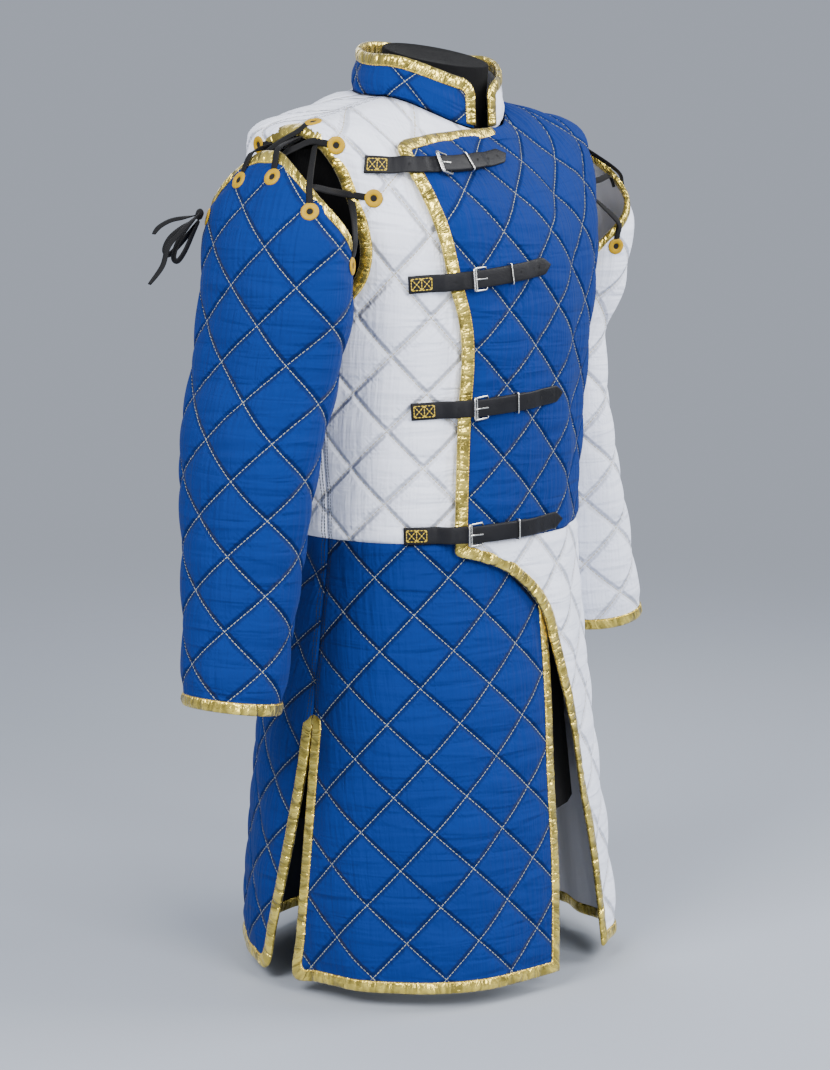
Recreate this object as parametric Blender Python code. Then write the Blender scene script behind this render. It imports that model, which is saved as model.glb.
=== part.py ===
"""Quilted, quartered gambeson with laced-on sleeves, worn by a low limbless dress form.

All design sizes are millimetres, turned into metres where a mesh is made. The coat faces -Y and the
wearer's right is -X. Heights in the tables count from a datum FLOOR_Z under the floor, and the
underside of the stand comes out at Z = 0. Cloth is laid out flat first, in s (round the body from
the centre line) and v (up the cloth), and is then placed on its form.
"""
import math
from collections import namedtuple

import bmesh
import bpy
from mathutils import Vector, geometry

for startup_object in list(bpy.data.objects):
    bpy.data.objects.remove(startup_object)

MM = 0.001

# Driving sizes.
FLOOR_Z = 22.0
HEM_Z = 40.0
WAIST_Z = 525.0
BODY_Y = -20.0
CLOTH = 3.0            # padded cloth between the quilting pillows
PILLOW = 4.5           # rise of a quilted diamond
SEAM_GAP = 0.4
SIDE_GAP = 0.4
BAND_GAP = 1.0
BAND_WIDTH = 13.0
BAND_CLOTH = 1.2       # lamé binding, once over each face of the cloth
BAND_CROWN = 0.7
DIAMOND_WIDE, DIAMOND_TALL = 78.0, 79.0
LAP_LIFT = 8.6         # left front lies this far over the right front
LAP_REST = 22.0        # it stays so far past the right front's edge before it comes down
LAP_RAMP = 48.0
STRAP_WIDTH, STRAP_THICK = 19.0, 2.4

# Level rings of the coat body. z and depth differ at the front, side and back.
BodyRow = namedtuple(
    "BodyRow", "name z_front z_side z_back middle_y half_width front_depth back_depth front_corner back_corner"
)
BODY_ROWS = [
    BodyRow("hem", 40, 40, 40, 2, 206, 212, 172, 2.4, 2.1),
    BodyRow("low skirt", 150, 150, 150, -4, 199, 197, 174, 2.3, 2.1),
    BodyRow("hip", 300, 300, 300, -12, 189, 173, 172, 2.2, 2.1),
    BodyRow("high hip", 420, 420, 420, -18, 179, 153, 153, 2.2, 2.2),
    BodyRow("waist", 525, 525, 525, -20, 168, 144, 134, 2.3, 2.3),
    BodyRow("ribs", 650, 650, 650, -20, 176, 148, 138, 2.3, 2.5),
    BodyRow("armpit", 765, 770, 770, -20, 188, 152, 140, 2.4, 2.9),
    BodyRow("upper chest", 850, 875, 870, -20, 206, 142, 136, 2.5, 3.5),
    BodyRow("shoulder tip", 905, 955, 945, -20, 216, 112, 116, 2.5, 3.5),
    BodyRow("mid shoulder", 940, 978, 985, -20, 145, 86, 94, 2.4, 2.6),
    BodyRow("neck", 956, 992, 1003, -20, 84, 77, 84, 2.0, 2.0),
]

# Level rings of a sleeve, from the cuff up. out is the distance of the middle from the body's
# middle plane, back is behind the body's middle, rise lifts the outer side of the ring.
SleeveRow = namedtuple("SleeveRow", "name z out back half_out half_deep rise")
RIGHT_SLEEVE = [
    SleeveRow("cuff", 362, 318, 4, 46, 49, 8),
    SleeveRow("wrist", 412, 310, 6, 48, 53, 6),
    SleeveRow("forearm", 477, 300, 8, 50, 60, 4),
    SleeveRow("below elbow", 548, 291, 9, 52, 69, 2),
    SleeveRow("elbow", 608, 284, 9, 53, 77, 0),
    SleeveRow("above elbow", 654, 276, 9, 52, 83, 0),
    SleeveRow("upper arm", 718, 260, 6, 50, 88, 0),
    SleeveRow("armpit", 785, 255, -4, 50, 91, 0),
    SleeveRow("cap", 845, 249, -3, 46, 90, 0),
    SleeveRow("high cap", 900, 238, 0, 36, 78, 0),
    SleeveRow("top", 945, 226, 0, 22, 48, 0),
]
LEFT_SLEEVE = [
    SleeveRow("cuff", 366, 325, 2, 46, 49, 8),
    SleeveRow("wrist", 426, 304, 2, 47, 52, 6),
    SleeveRow("forearm", 489, 286, 8, 48, 60, 4),
    SleeveRow("below elbow", 548, 266, 13, 48, 69, 2),
    SleeveRow("elbow", 613, 246, 18, 47, 76, 0),
    SleeveRow("above elbow", 660, 241, 26, 46, 81, 0),
    SleeveRow("upper arm", 718, 243, 34, 46, 85, 0),
    SleeveRow("armpit", 785, 250, 14, 48, 88, 0),
    SleeveRow("cap", 845, 249, 4, 46, 88, 0),
    SleeveRow("high cap", 900, 238, 0, 36, 78, 0),
    SleeveRow("top", 945, 226, 0, 22, 48, 0),
]
SLEEVE_HEAD_TOP = 938.0
SLEEVE_HEAD_UNDER = 778.0

# Level rings of the standing collar: its plain inner face.
CollarRow = namedtuple("CollarRow", "z_front z_side z_back half_width front_depth back_depth")
COLLAR_ROWS = [
    CollarRow(962, 997.5, 1008.5, 81, 74, 81),
    CollarRow(986, 1018, 1031, 78.5, 73, 78.5),
    CollarRow(1010, 1039, 1054, 76, 72, 75),
]
COLLAR_FRONT_GAP_RIGHT, COLLAR_FRONT_GAP_LEFT = 13.0, 3.0
COLLAR_CORNER = 16.0

# Edge of the left front, from the neck over the chest, down the lap and round the cut-away skirt.
# level is the height of the ring at the centre front.
EdgePoint = namedtuple("EdgePoint", "level s")
LAP_NECKLINE = [EdgePoint(956, -2), EdgePoint(947, -52), EdgePoint(936, -100), EdgePoint(921, -150)]
LAP_CORNER = EdgePoint(912, -163)
LAP_EDGE = [
    EdgePoint(896, -161), EdgePoint(866, -148), EdgePoint(838, -138), EdgePoint(800, -129),
    EdgePoint(760, -117), EdgePoint(720, -112), EdgePoint(650, -112), EdgePoint(585, -111),
    EdgePoint(526, -110),
]
LAP_FOOT = EdgePoint(512, -108)
CUTAWAY = [
    EdgePoint(504, -84), EdgePoint(490, -52), EdgePoint(463, -18), EdgePoint(434, 4),
    EdgePoint(400, 14), EdgePoint(350, 27), EdgePoint(290, 43), EdgePoint(235, 58),
    EdgePoint(180, 75), EdgePoint(110, 88),
]
CUTAWAY_TIP = EdgePoint(40, 97)
RIGHT_CENTRE_EDGE = [
    EdgePoint(40, -7), EdgePoint(150, 2), EdgePoint(262, 7), EdgePoint(371, 16), EdgePoint(470, 16),
    EdgePoint(525, 15), EdgePoint(650, 12), EdgePoint(780, 6), EdgePoint(880, 0), EdgePoint(925, -6),
]
RIGHT_CENTRE_TOP = EdgePoint(955.8, -13)

# Armhole edge: how far it lies in from the side line, at each height up the side.
ArmholePoint = namedtuple("ArmholePoint", "row front back")
ARMHOLE = [
    ArmholePoint(7.9, 18, 17), ArmholePoint(7.75, 32, 32), ArmholePoint(7.5, 47, 47),
    ArmholePoint(7.2, 57, 58), ArmholePoint(6.9, 65, 67),
    ArmholePoint(6.6, 66, 70), ArmholePoint(6.35, 56, 60), ArmholePoint(6.15, 34, 38),
    ArmholePoint(6.05, 14, 16),
]
ARMHOLE_TOP_ROW, ARMHOLE_FOOT_ROW = 8.0, 6.02

# Side slits of the skirt.
SLIT_TOP_Z = 320.0
SLIT_HALF_TOP = 0.3
FRONT_SLIT_SPREAD = 0.5      # front corner lies this far ahead of the side line at the hem
BACK_SLIT_SPREAD = 44.0      # back corner lies this far behind it

# Large soft folds of the skirt: side, place round the body, width, depth at the hem, where they fade out.
Fold = namedtuple("Fold", "side s half_width depth top")
FOLDS = [
    Fold("front", -250, 46, 5, 380),
    Fold("front", -60, 60, -4, 330),
    Fold("front", 150, 40, 7, 400),
    Fold("front", 235, 42, -9, 420),
    Fold("back", -120, 55, 8, 430),
    Fold("back", 30, 60, -7, 400),
    Fold("back", 150, 50, 9, 430),
]

# Buckled straps: height of the sewn end and of the point, and where each piece lies round the front.
StrapRow = namedtuple("StrapRow", "name start_level end_level start_s buckle_s keeper_s end_s")
STRAPS = [
    StrapRow("1", 890, 923, -207, -118, -80, -9),
    StrapRow("2", 796, 815, -170, -100, -62, 2),
    StrapRow("3", 668, 679, -160, -92, -50, 24),
    StrapRow("4", 534, 538, -162, -92, -42, 34),
]

# Dress form and its stand.
FORM_FOOT_Z = 205.0
FORM_EASE = 16.0
HIP_EASE = 26.0
ARM_EASE = 10.0
SHOULDER_SEAT = 0.965
POLE_RADIUS = 15.0
BASE_RADIUS, BASE_THICK = 135.0, 9.0
TOUCH = 0.3
NECK_HALF_WIDTH, NECK_HALF_DEPTH = 60.0, 57.0
NECK_FOOT_FRONT, NECK_FOOT_BACK = 952.0, 988.0
NECK_BLOCK_TOP_FRONT, NECK_BLOCK_TOP_BACK = 1024.0, 1052.0

COLORS = {
    "blue": (0.006, 0.083, 0.43),
    "white": (0.75, 0.77, 0.86),
    "gold": (0.62, 0.48, 0.09),
    "leather": (0.012, 0.012, 0.014),
    "nickel": (0.6, 0.6, 0.6),
    "jersey": (0.01, 0.01, 0.011),
    "lace": (0.008, 0.008, 0.009),
    "steel": (0.03, 0.03, 0.032),
}
METALS = {"gold": 0.6, "nickel": 1.0, "steel": 0.4}
ROUGHNESS = {"gold": 0.35, "nickel": 0.25, "leather": 0.5, "steel": 0.45}


# ---------------------------------------------------------------- smooth tables

def metres(point):
    return Vector((point.x, point.y - BODY_Y, point.z - FLOOR_Z)) * MM


def smooth_column(values):
    """A curve through the values of one table column, with no overshoot, over the row number."""
    steps = [b - a for a, b in zip(values, values[1:])]
    slopes = [steps[0]]
    for before, after in zip(steps, steps[1:]):
        slopes.append(2 * before * after / (before + after) if before * after > 0 else 0.0)
    slopes.append(steps[-1])

    def at(row):
        index = min(max(int(row), 0), len(values) - 2)
        u = row - index
        start = (1 + 2 * u) * (1 - u) ** 2 * values[index] + u * (1 - u) ** 2 * slopes[index]
        end = u * u * (3 - 2 * u) * values[index + 1] + u * u * (u - 1) * slopes[index + 1]
        return start + end

    return at


def smooth_table(rows):
    columns = {}
    for field in rows[0]._fields:
        if field != "name":
            columns[field] = smooth_column([getattr(row, field) for row in rows])
    return columns


def soft_step(x, low, high):
    u = min(max((x - low) / (high - low), 0.0), 1.0)
    return u * u * (3 - 2 * u)


def smooth_path(points, steps):
    """Catmull-Rom curve through flat points, steps pieces between two of them."""
    padded = [points[0]] + list(points) + [points[-1]]
    out = []
    for a, b, c, d in zip(padded, padded[1:], padded[2:], padded[3:]):
        for i in range(steps):
            u = i / steps
            out.append(
                b + 0.5 * u * ((c - a) + u * ((2 * a - 5 * b + 4 * c - d) + u * (3 * (b - c) + d - a)))
            )
    out.append(points[-1])
    return out


# ---------------------------------------------------------------- cloth forms

RING_STEPS = 24
PROBE = 4.0


class Cloth:
    """A form that cloth lies on. A ring at each row gives points against their length round it."""

    def __init__(self, lift=None):
        self.lift = lift
        self.rings = {}

    def ring_at(self, row):
        key = round(row, 4)
        if key not in self.rings:
            points = [self.ring_point(key, i / RING_STEPS) for i in range(RING_STEPS + 1)]
            lengths = [0.0]
            for a, b in zip(points, points[1:]):
                lengths.append(lengths[-1] + (b - a).length)
            self.rings[key] = (lengths, points)
        return self.rings[key]

    def reach(self, v):
        """Length from the middle line to the edge of this form's ring."""
        return self.ring_at(self.row_of(v))[0][-1]

    def bare(self, s, v):
        lengths, points = self.ring_at(self.row_of(v))
        along = abs(s)
        index = 0
        while index < len(lengths) - 2 and lengths[index + 1] < along:
            index += 1
        u = (along - lengths[index]) / (lengths[index + 1] - lengths[index])
        point = points[index].lerp(points[index + 1], u)
        return self.turned(point, -1 if s < 0 else 1)

    def normal(self, s, v):
        across = self.bare(s + PROBE, v) - self.bare(s - PROBE, v)
        up = self.bare(s, v + PROBE) - self.bare(s, v - PROBE)
        return across.cross(up).normalized() * self.facing

    def place(self, s, v, out):
        if self.lift:
            out += self.lift(s, v)
        return self.bare(s, v) + self.normal(s, v) * out


class BodyCloth(Cloth):
    """Front or back of the coat body. v is the length up its middle line, from the hem's height."""

    columns = smooth_table(BODY_ROWS)
    row_steps = 12

    def __init__(self, side, lift=None):
        super().__init__(lift)
        self.side = side
        self.facing = 1 if side == "front" else -1
        self.heights = [HEM_Z]
        count = (len(BODY_ROWS) - 1) * self.row_steps
        middle = [self.ring_point(i / self.row_steps, 0.0) for i in range(count + 1)]
        for a, b in zip(middle, middle[1:]):
            self.heights.append(self.heights[-1] + (b - a).length)

    def ring_point(self, row, part):
        angle = part * math.pi / 2
        get = {name: column(row) for name, column in self.columns.items()}
        depth, corner, level = get["front_depth"], get["front_corner"], get["z_front"]
        toward = -1
        if self.side == "back":
            depth, corner, level = get["back_depth"], get["back_corner"], get["z_back"]
            toward = 1
        x = get["half_width"] * math.sin(angle) ** (2 / corner)
        y = get["middle_y"] + toward * depth * max(math.cos(angle), 0.0) ** (2 / corner)
        z = level + (get["z_side"] - level) * math.sin(angle) ** 2
        return Vector((x, y, z))

    def turned(self, point, sign):
        return Vector((sign * point.x, point.y, point.z))

    def normal(self, s, v):
        """Square to the side seam's own plane beside it, so that front and back meet evenly."""
        out = super().normal(s, v)
        if self.reach(v) - abs(s) < PROBE:
            out.y = 0.0
            out.normalize()
        return out

    def row_of(self, v):
        heights = self.heights
        index = 0
        while index < len(heights) - 2 and heights[index + 1] < v:
            index += 1
        return (index + (v - heights[index]) / (heights[index + 1] - heights[index])) / self.row_steps

    def v_of_row(self, row):
        place = row * self.row_steps
        index = min(int(place), len(self.heights) - 2)
        return self.heights[index] + (place - index) * (self.heights[index + 1] - self.heights[index])

    def v_of_level(self, level):
        column = self.columns["z_front" if self.side == "front" else "z_back"]
        low, high = 0.0, len(BODY_ROWS) - 1.0
        for _ in range(40):
            middle = (low + high) / 2
            low, high = (middle, high) if column(middle) < level else (low, middle)
        return self.v_of_row(low)


class SleeveCloth(Cloth):
    """A sleeve as a tube: s runs round from its outer line, v is the height of the ring's middle."""

    def __init__(self, rows, sign):
        super().__init__()
        self.columns = smooth_table(rows)
        self.rows = rows
        self.sign = sign
        self.facing = 1

    def ring_point(self, row, part):
        angle = part * math.pi
        get = {name: column(row) for name, column in self.columns.items()}
        x = get["out"] + get["half_out"] * math.cos(angle)
        y = BODY_Y + get["back"] - get["half_deep"] * math.sin(angle)
        return Vector((x, y, get["z"] + get["rise"] * math.cos(angle)))

    def turned(self, point, sign):
        """The ring is held for the front half of the left arm, and is turned for the others."""
        row_y = self.middle_y
        y = point.y if sign * self.sign < 0 else 2 * row_y - point.y
        return Vector((self.sign * point.x, y, point.z))

    def bare(self, s, v):
        self.middle_y = BODY_Y + self.columns["back"](self.row_of(v))
        return super().bare(s, v)

    def row_of(self, v):
        column = self.columns["z"]
        low, high = 0.0, len(self.rows) - 1.0
        for _ in range(30):
            middle = (low + high) / 2
            low, high = (middle, high) if column(middle) < v else (low, middle)
        return low


class CollarCloth(Cloth):
    """The standing collar: s runs from the centre front to the centre back, v is 0 to 1 up it."""

    columns = smooth_table(COLLAR_ROWS)
    facing = 1
    height = 48.0

    def ring_point(self, row, part):
        angle = part * math.pi
        get = {name: column(row) for name, column in self.columns.items()}
        front = math.cos(angle) > 0
        depth = get["front_depth"] if front else get["back_depth"]
        level = get["z_front"] if front else get["z_back"]
        x = get["half_width"] * math.sin(angle)
        z = level + (get["z_side"] - level) * math.sin(angle) ** 2
        return Vector((x, BODY_Y - depth * math.cos(angle), z))

    def turned(self, point, sign):
        return Vector((sign * point.x, point.y, point.z))

    def row_of(self, v):
        return v / self.height * (len(COLLAR_ROWS) - 1)


def right_edge_s(cloth, v):
    """Where the right front ends, round from the centre line."""
    points = [(cloth.v_of_level(p.level), p.s) for p in RIGHT_CENTRE_EDGE + [RIGHT_CENTRE_TOP]]
    for (v0, s0), (v1, s1) in zip(points, points[1:]):
        if v <= v1:
            return s0 + (s1 - s0) * (v - v0) / (v1 - v0)
    return points[-1][1]


def lap_edge_s(cloth, v):
    """Where the left front's edge lies, at the lap or the cut-away."""
    table = [LAP_CORNER] + LAP_EDGE + [LAP_FOOT] + CUTAWAY + [CUTAWAY_TIP]
    points = [(cloth.v_of_level(p.level), p.s) for p in table]
    if v >= points[0][0]:
        return points[0][1]
    for (v0, s0), (v1, s1) in zip(points, points[1:]):
        if v >= v1:
            return s0 + (s1 - s0) * (v - v0) / (v1 - v0)
    return points[-1][1]


def fold_rise(side, s, v):
    rise = 0.0
    for fold in FOLDS:
        if fold.side == side and abs(s - fold.s) < fold.half_width and v < fold.top:
            across = math.cos(math.pi / 2 * (s - fold.s) / fold.half_width) ** 2
            rise += fold.depth * across * soft_step(fold.top - v, 0, fold.top - HEM_Z)
    return rise


def lap_rise(s, v):
    """Lift of the left front where it lies on the right front, and its folds."""
    end = right_edge_s(FRONT, v)
    return LAP_LIFT * (1 - soft_step(s, end + LAP_REST, end + LAP_REST + LAP_RAMP)) + fold_rise("front", s, v)


FRONT = BodyCloth("front", lambda s, v: fold_rise("front", s, v))
LEFT_FRONT = BodyCloth("front", lap_rise)
BACK = BodyCloth("back", lambda s, v: fold_rise("back", s, v))
SLEEVES = {"right": SleeveCloth(RIGHT_SLEEVE, -1), "left": SleeveCloth(LEFT_SLEEVE, 1)}
COLLAR = CollarCloth()


# ---------------------------------------------------------------- flat pattern helpers

def flat(cloth, point):
    return Vector((point.s, cloth.v_of_level(point.level)))


def inside(point, outline):
    odd = False
    for a, b in zip(outline, outline[1:] + outline[:1]):
        if (a.y > point.y) != (b.y > point.y):
            if point.x < a.x + (b.x - a.x) * (point.y - a.y) / (b.y - a.y):
                odd = not odd
    return odd


def distance_to(point, outline):
    best = 1e9
    for a, b in zip(outline, outline[1:] + outline[:1]):
        along = b - a
        u = min(max((point - a).dot(along) / max(along.length_squared, 1e-9), 0.0), 1.0)
        best = min(best, (point - a - along * u).length)
    return best


def stretch(cloth, point):
    """Lengths and slant of the two flat directions where the cloth lies on its form."""
    across = cloth.bare(point.x + PROBE, point.y) - cloth.bare(point.x - PROBE, point.y)
    up = cloth.bare(point.x, point.y + PROBE) - cloth.bare(point.x, point.y - PROBE)
    scale = 4 * PROBE * PROBE
    return across.dot(across) / scale, across.dot(up) / scale, up.dot(up) / scale


def measured(metric, a, b):
    ss, sv, vv = metric
    return a.x * b.x * ss + (a.x * b.y + a.y * b.x) * sv + a.y * b.y * vv


def left_of(metric, direction):
    """Flat direction square to this one on the worn cloth, to its left, one unit long there."""
    ss, sv, vv = metric
    turned = Vector((-(direction.x * sv + direction.y * vv), direction.x * ss + direction.y * sv))
    return turned / math.sqrt(measured(metric, turned, turned))


def inset(cloth, path, width):
    """The points of an open path moved to its left by width along the worn cloth, mitred."""
    moved = []
    for i, point in enumerate(path):
        step = Vector((0, 0))
        for _ in range(2):
            metric = stretch(cloth, point + step / 2)
            sides = []
            if i:
                sides.append(left_of(metric, point - path[i - 1]))
            if i < len(path) - 1:
                sides.append(left_of(metric, path[i + 1] - point))
            middle = sides[0] + sides[-1]
            middle /= math.sqrt(measured(metric, middle, middle))
            step = middle * width / max(measured(metric, middle, sides[0]), 0.5)
        moved.append(point + step)
    return moved


def resampled(path, step):
    """The same path with no piece longer than step."""
    out = []
    for a, b in zip(path, path[1:]):
        count = max(int(math.ceil((b - a).length / step)), 1)
        out += [a.lerp(b, i / count) for i in range(count)]
    return out + [path[-1]]


def cut_at(outline, v, above):
    """The part of a flat outline above or below a level line."""
    kept = []
    for a, b in zip(outline, outline[1:] + outline[:1]):
        a_in, b_in = (a.y > v) == above, (b.y > v) == above
        if a_in:
            kept.append(a)
        if a_in != b_in:
            kept.append(a.lerp(b, (v - a.y) / (b.y - a.y)))
    return kept


# ---------------------------------------------------------------- quilted panels

Quilt = namedtuple("Quilt", "s v")
SNAP = 9.0
EDGE_FADE = 22.0
SHORTEST_EDGE = 0.8
SEAM_REACH = 1.2
LONGEST_CHORD = 60.0


def diamond(quilt, s, v):
    """How far along the two families of quilting lines a flat point lies."""
    a = (s - quilt.s) / DIAMOND_WIDE
    b = (v - quilt.v) / DIAMOND_TALL
    return a + b, a - b


def pillow_rise(quilt, s, v):
    p, q = diamond(quilt, s, v)
    return PILLOW * math.sqrt(abs(math.sin(math.pi * p) * math.sin(math.pi * q)))


def quilting_lines(quilt, outline):
    """Adds the line ends to the outline, and gives the pairs of ends."""
    corners = [diamond(quilt, point.x, point.y) for point in outline]
    ends = []
    for family in (0, 1):
        low = math.ceil(min(corner[family] for corner in corners))
        high = math.floor(max(corner[family] for corner in corners))
        for number in range(low, high + 1):
            crossings = []
            for i, a in enumerate(outline):
                b = outline[(i + 1) % len(outline)]
                near = diamond(quilt, a.x, a.y)[family] - number
                far = diamond(quilt, b.x, b.y)[family] - number
                if (near > 0) != (far > 0):
                    crossings.append(a.lerp(b, near / (near - far)))
            crossings.sort(key=lambda point: point.y)
            ends += list(zip(crossings[::2], crossings[1::2]))
    return ends


def on_seam(cloth, point):
    return abs(abs(point.x) - cloth.reach(point.y)) < SEAM_REACH


def with_point(cloth, outline, added, point):
    """The outline's vertex at this point, which is added unless one is near."""
    near = min(outline, key=lambda other: (other - point).length)
    if (near - point).length < SNAP:
        return near
    best, index = 1e9, 0
    for i, a in enumerate(outline):
        b = outline[(i + 1) % len(outline)]
        along = b - a
        u = min(max((point - a).dot(along) / along.length_squared, 0.0), 1.0)
        gap = (point - a - along * u).length
        if gap < best:
            best, index = gap, i
    if on_seam(cloth, outline[index]) and on_seam(cloth, outline[(index + 1) % len(outline)]):
        edge = cloth.reach(point.y) - SIDE_GAP
        point = Vector((math.copysign(edge, point.x), point.y))
    else:
        added.append(point)
    outline.insert(index + 1, point)
    return point


def added_between(outline, added, point):
    """The pattern's own vertices on each side of an added one, and how far along it lies."""
    index = outline.index(point)
    before, after = index - 1, (index + 1) % len(outline)
    while outline[before] in added:
        before -= 1
    while outline[after] in added:
        after = (after + 1) % len(outline)
    a, b = outline[before], outline[after]
    return a, b, (point - a).length / (b - a).length


def triangles(points, edges, count):
    """Flat points and triangles of the area inside the first count points."""
    found = geometry.delaunay_2d_cdt(points, edges, [list(range(count))], 1, 1e-4)
    flat_points, outline = found[0], points[:count]
    faces = []
    for face in found[2]:
        middle = sum((flat_points[i] for i in face), Vector((0, 0))) / len(face)
        if inside(middle, outline):
            faces.append(face)
    return flat_points, faces


def rim(faces, flat_points):
    """Outer edges of a triangulated area, keyed by their rounded ends."""
    uses = {}
    for face in faces:
        for i, a in enumerate(face):
            b = face[(i + 1) % len(face)]
            uses.setdefault(frozenset((a, b)), []).append((a, b))
    edges = {}
    for pairs in uses.values():
        if len(pairs) == 1:
            a, b = pairs[0]
            edges[(rounded(flat_points[a]), rounded(flat_points[b]))] = (a, b)
    return edges


def rounded(point):
    return round(point.x, 2), round(point.y, 2)


def puff_points(quilt, outline):
    """The middle of each diamond and four points round it."""
    half_wide, half_tall = DIAMOND_WIDE / 2, DIAMOND_TALL / 2
    columns = [round((p.x - quilt.s) / half_wide) for p in outline]
    levels = [round((p.y - quilt.v) / half_tall) for p in outline]
    points = []
    for i in range(min(columns) - 1, max(columns) + 2):
        for j in range(min(levels) - 1, max(levels) + 2):
            if (i + j) % 2 == 0:
                continue
            middle = Vector((quilt.s + i * half_wide, quilt.v + j * half_tall))
            around = [
                middle + Vector((x * half_wide / 4, y * half_tall / 4)) for x in (-1, 1) for y in (-1, 1)
            ]
            if all(inside(p, outline) and distance_to(p, outline) > SNAP for p in [middle] + around):
                points += [middle] + around
    return points


def quilted_panel(name, cloth, outline, quilt, color, flat_past=None, helpers=()):
    """A closed wall of padded cloth: plain inside, with a raised diamond pattern outside.

    helpers are flat points that keep the wall close to its form where that turns sharply.
    """
    outline = [p for i, p in enumerate(outline) if (p - outline[i - 1]).length > SHORTEST_EDGE]
    added = []
    lines = [
        (with_point(cloth, outline, added, a), with_point(cloth, outline, added, b))
        for a, b in quilting_lines(quilt, list(outline))
    ]
    edges = []
    for a, b in lines:
        first, last = outline.index(a), outline.index(b)
        if abs(first - last) not in (0, 1, len(outline) - 1):
            edges.append((first, last))
    puffs = puff_points(quilt, outline)
    helpers = [
        point for point in helpers
        if inside(point, outline) and distance_to(point, outline) > SNAP / 2
        and min((point - puff).length for puff in puffs) > SNAP / 2
    ]
    outer_points, outer_faces = triangles(outline + puffs + helpers, edges, len(outline))
    lined = outline + helpers + (puffs[::5] if cloth is LEFT_FRONT else [])
    inner_points, inner_faces = triangles(lined, edges, len(outline))

    chords = {}
    for point in added:
        chord = added_between(outline, added, point)
        if (chord[1] - chord[0]).length < LONGEST_CHORD:
            chords[rounded(point)] = chord
    mesh = bmesh.new()

    def placed(point, rise):
        chord = chords.get(rounded(point))
        if not chord:
            return metres(cloth.place(point.x, point.y, rise))
        a, b, u = chord
        return metres(cloth.place(a.x, a.y, rise).lerp(cloth.place(b.x, b.y, rise), u))

    outer = []
    for point in outer_points:
        fade = min(distance_to(point, outline) / EDGE_FADE, 1.0)
        if flat_past:
            fade *= flat_past(point)
        outer.append(mesh.verts.new(placed(point, CLOTH + pillow_rise(quilt, point.x, point.y) * fade)))
    inner = [mesh.verts.new(placed(point, 0.0)) for point in inner_points]
    for face in outer_faces:
        mesh.faces.new([outer[i] for i in face])
    for face in inner_faces:
        mesh.faces.new([inner[i] for i in reversed(face)])
    inner_rim = rim(inner_faces, inner_points)
    for key, (a, b) in rim(outer_faces, outer_points).items():
        c, d = inner_rim[key]
        mesh.faces.new([outer[b], outer[a], inner[c], inner[d]])
    bmesh.ops.delete(mesh, geom=[vert for vert in mesh.verts if not vert.link_faces], context="VERTS")
    return add_mesh(name, mesh, color)


# ---------------------------------------------------------------- lofts and materials

def material(color):
    found = bpy.data.materials.get(color)
    if found:
        return found
    made = bpy.data.materials.new(color)
    made.use_nodes = True
    made.diffuse_color = (*COLORS[color], 1.0)
    shader = made.node_tree.nodes["Principled BSDF"]
    shader.inputs["Base Color"].default_value = (*COLORS[color], 1.0)
    shader.inputs["Metallic"].default_value = METALS.get(color, 0.0)
    shader.inputs["Roughness"].default_value = ROUGHNESS.get(color, 0.8)
    return made


def add_mesh(name, mesh, color):
    bmesh.ops.recalc_face_normals(mesh, faces=mesh.faces[:])
    if mesh.calc_volume(signed=True) < 0:
        bmesh.ops.reverse_faces(mesh, faces=mesh.faces[:])
    data = bpy.data.meshes.new(name)
    mesh.to_mesh(data)
    mesh.free()
    data.materials.append(material(color))
    made = bpy.data.objects.new(name, data)
    COAT.objects.link(made)
    return made


def loft(name, sections, color, closed=False):
    """A solid through rings of points, each with the same count."""
    mesh = bmesh.new()
    rings = [[mesh.verts.new(metres(point)) for point in section] for section in sections]
    pairs = list(zip(rings, rings[1:]))
    if closed:
        pairs.append((rings[-1], rings[0]))
    else:
        mesh.faces.new(rings[0])
        mesh.faces.new(list(reversed(rings[-1])))
    for low, high in pairs:
        for i in range(len(low)):
            j = (i + 1) % len(low)
            mesh.faces.new([low[j], low[i], high[i], high[j]])
    return add_mesh(name, mesh, color)


def band_section(cloth, edge, inner):
    """Ring of a binding folded over a cloth edge, from its outer face round to its inner one."""
    middle = edge.lerp(inner, 0.5)
    top = CLOTH + BAND_CLOTH
    return [
        cloth.place(inner.x, inner.y, top),
        cloth.place(middle.x, middle.y, top + BAND_CROWN),
        cloth.place(edge.x, edge.y, top - 0.4),
        cloth.place(edge.x, edge.y, -BAND_CLOTH + 0.4),
        cloth.place(inner.x, inner.y, -BAND_CLOTH),
    ]


def binding(name, stations, closed=False):
    """stations are (cloth, edge point, inner point)."""
    return loft(name, [band_section(*station) for station in stations], "gold", closed)


# ---------------------------------------------------------------- the coat's edges, laid flat

BAND_STEP = 34.0
HELPER_STEP = 12.0
SHOULDER_TURN_ROW, TURN_GAP = 7.4, 2.4   # the cloth turns sharply over the shoulder above this row


def slit_edge(cloth, sign, spread):
    """Flat points up a side slit from the hem, on the panel at this side of it."""
    out = []
    for i in range(7):
        z = HEM_Z + (SLIT_TOP_Z - HEM_Z) * i / 6
        open_part = ((SLIT_TOP_Z - z) / (SLIT_TOP_Z - HEM_Z)) ** 1.4
        v = cloth.v_of_level(z)
        out.append(Vector((sign * (cloth.reach(v) - SLIT_HALF_TOP - spread * open_part), v)))
    return out


def slit_top(cloth, sign):
    """Rounded head of a slit's binding: edge points held at the slit, inner points swung over it."""
    v = cloth.v_of_level(SLIT_TOP_Z)

    def inward(distance, height):
        return Vector((sign * (cloth.reach(height) - SLIT_HALF_TOP - distance), height))

    stations = []
    for i in range(1, 4):
        turn = i / 3 * math.pi / 2
        edge = inward(0.6 * math.cos(turn), v + 0.4 + 0.6 * math.sin(turn))
        inner = inward(BAND_WIDTH * math.cos(turn), v + 0.4 + BAND_WIDTH * math.sin(turn))
        stations.append((edge, inner))
    return stations


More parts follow.
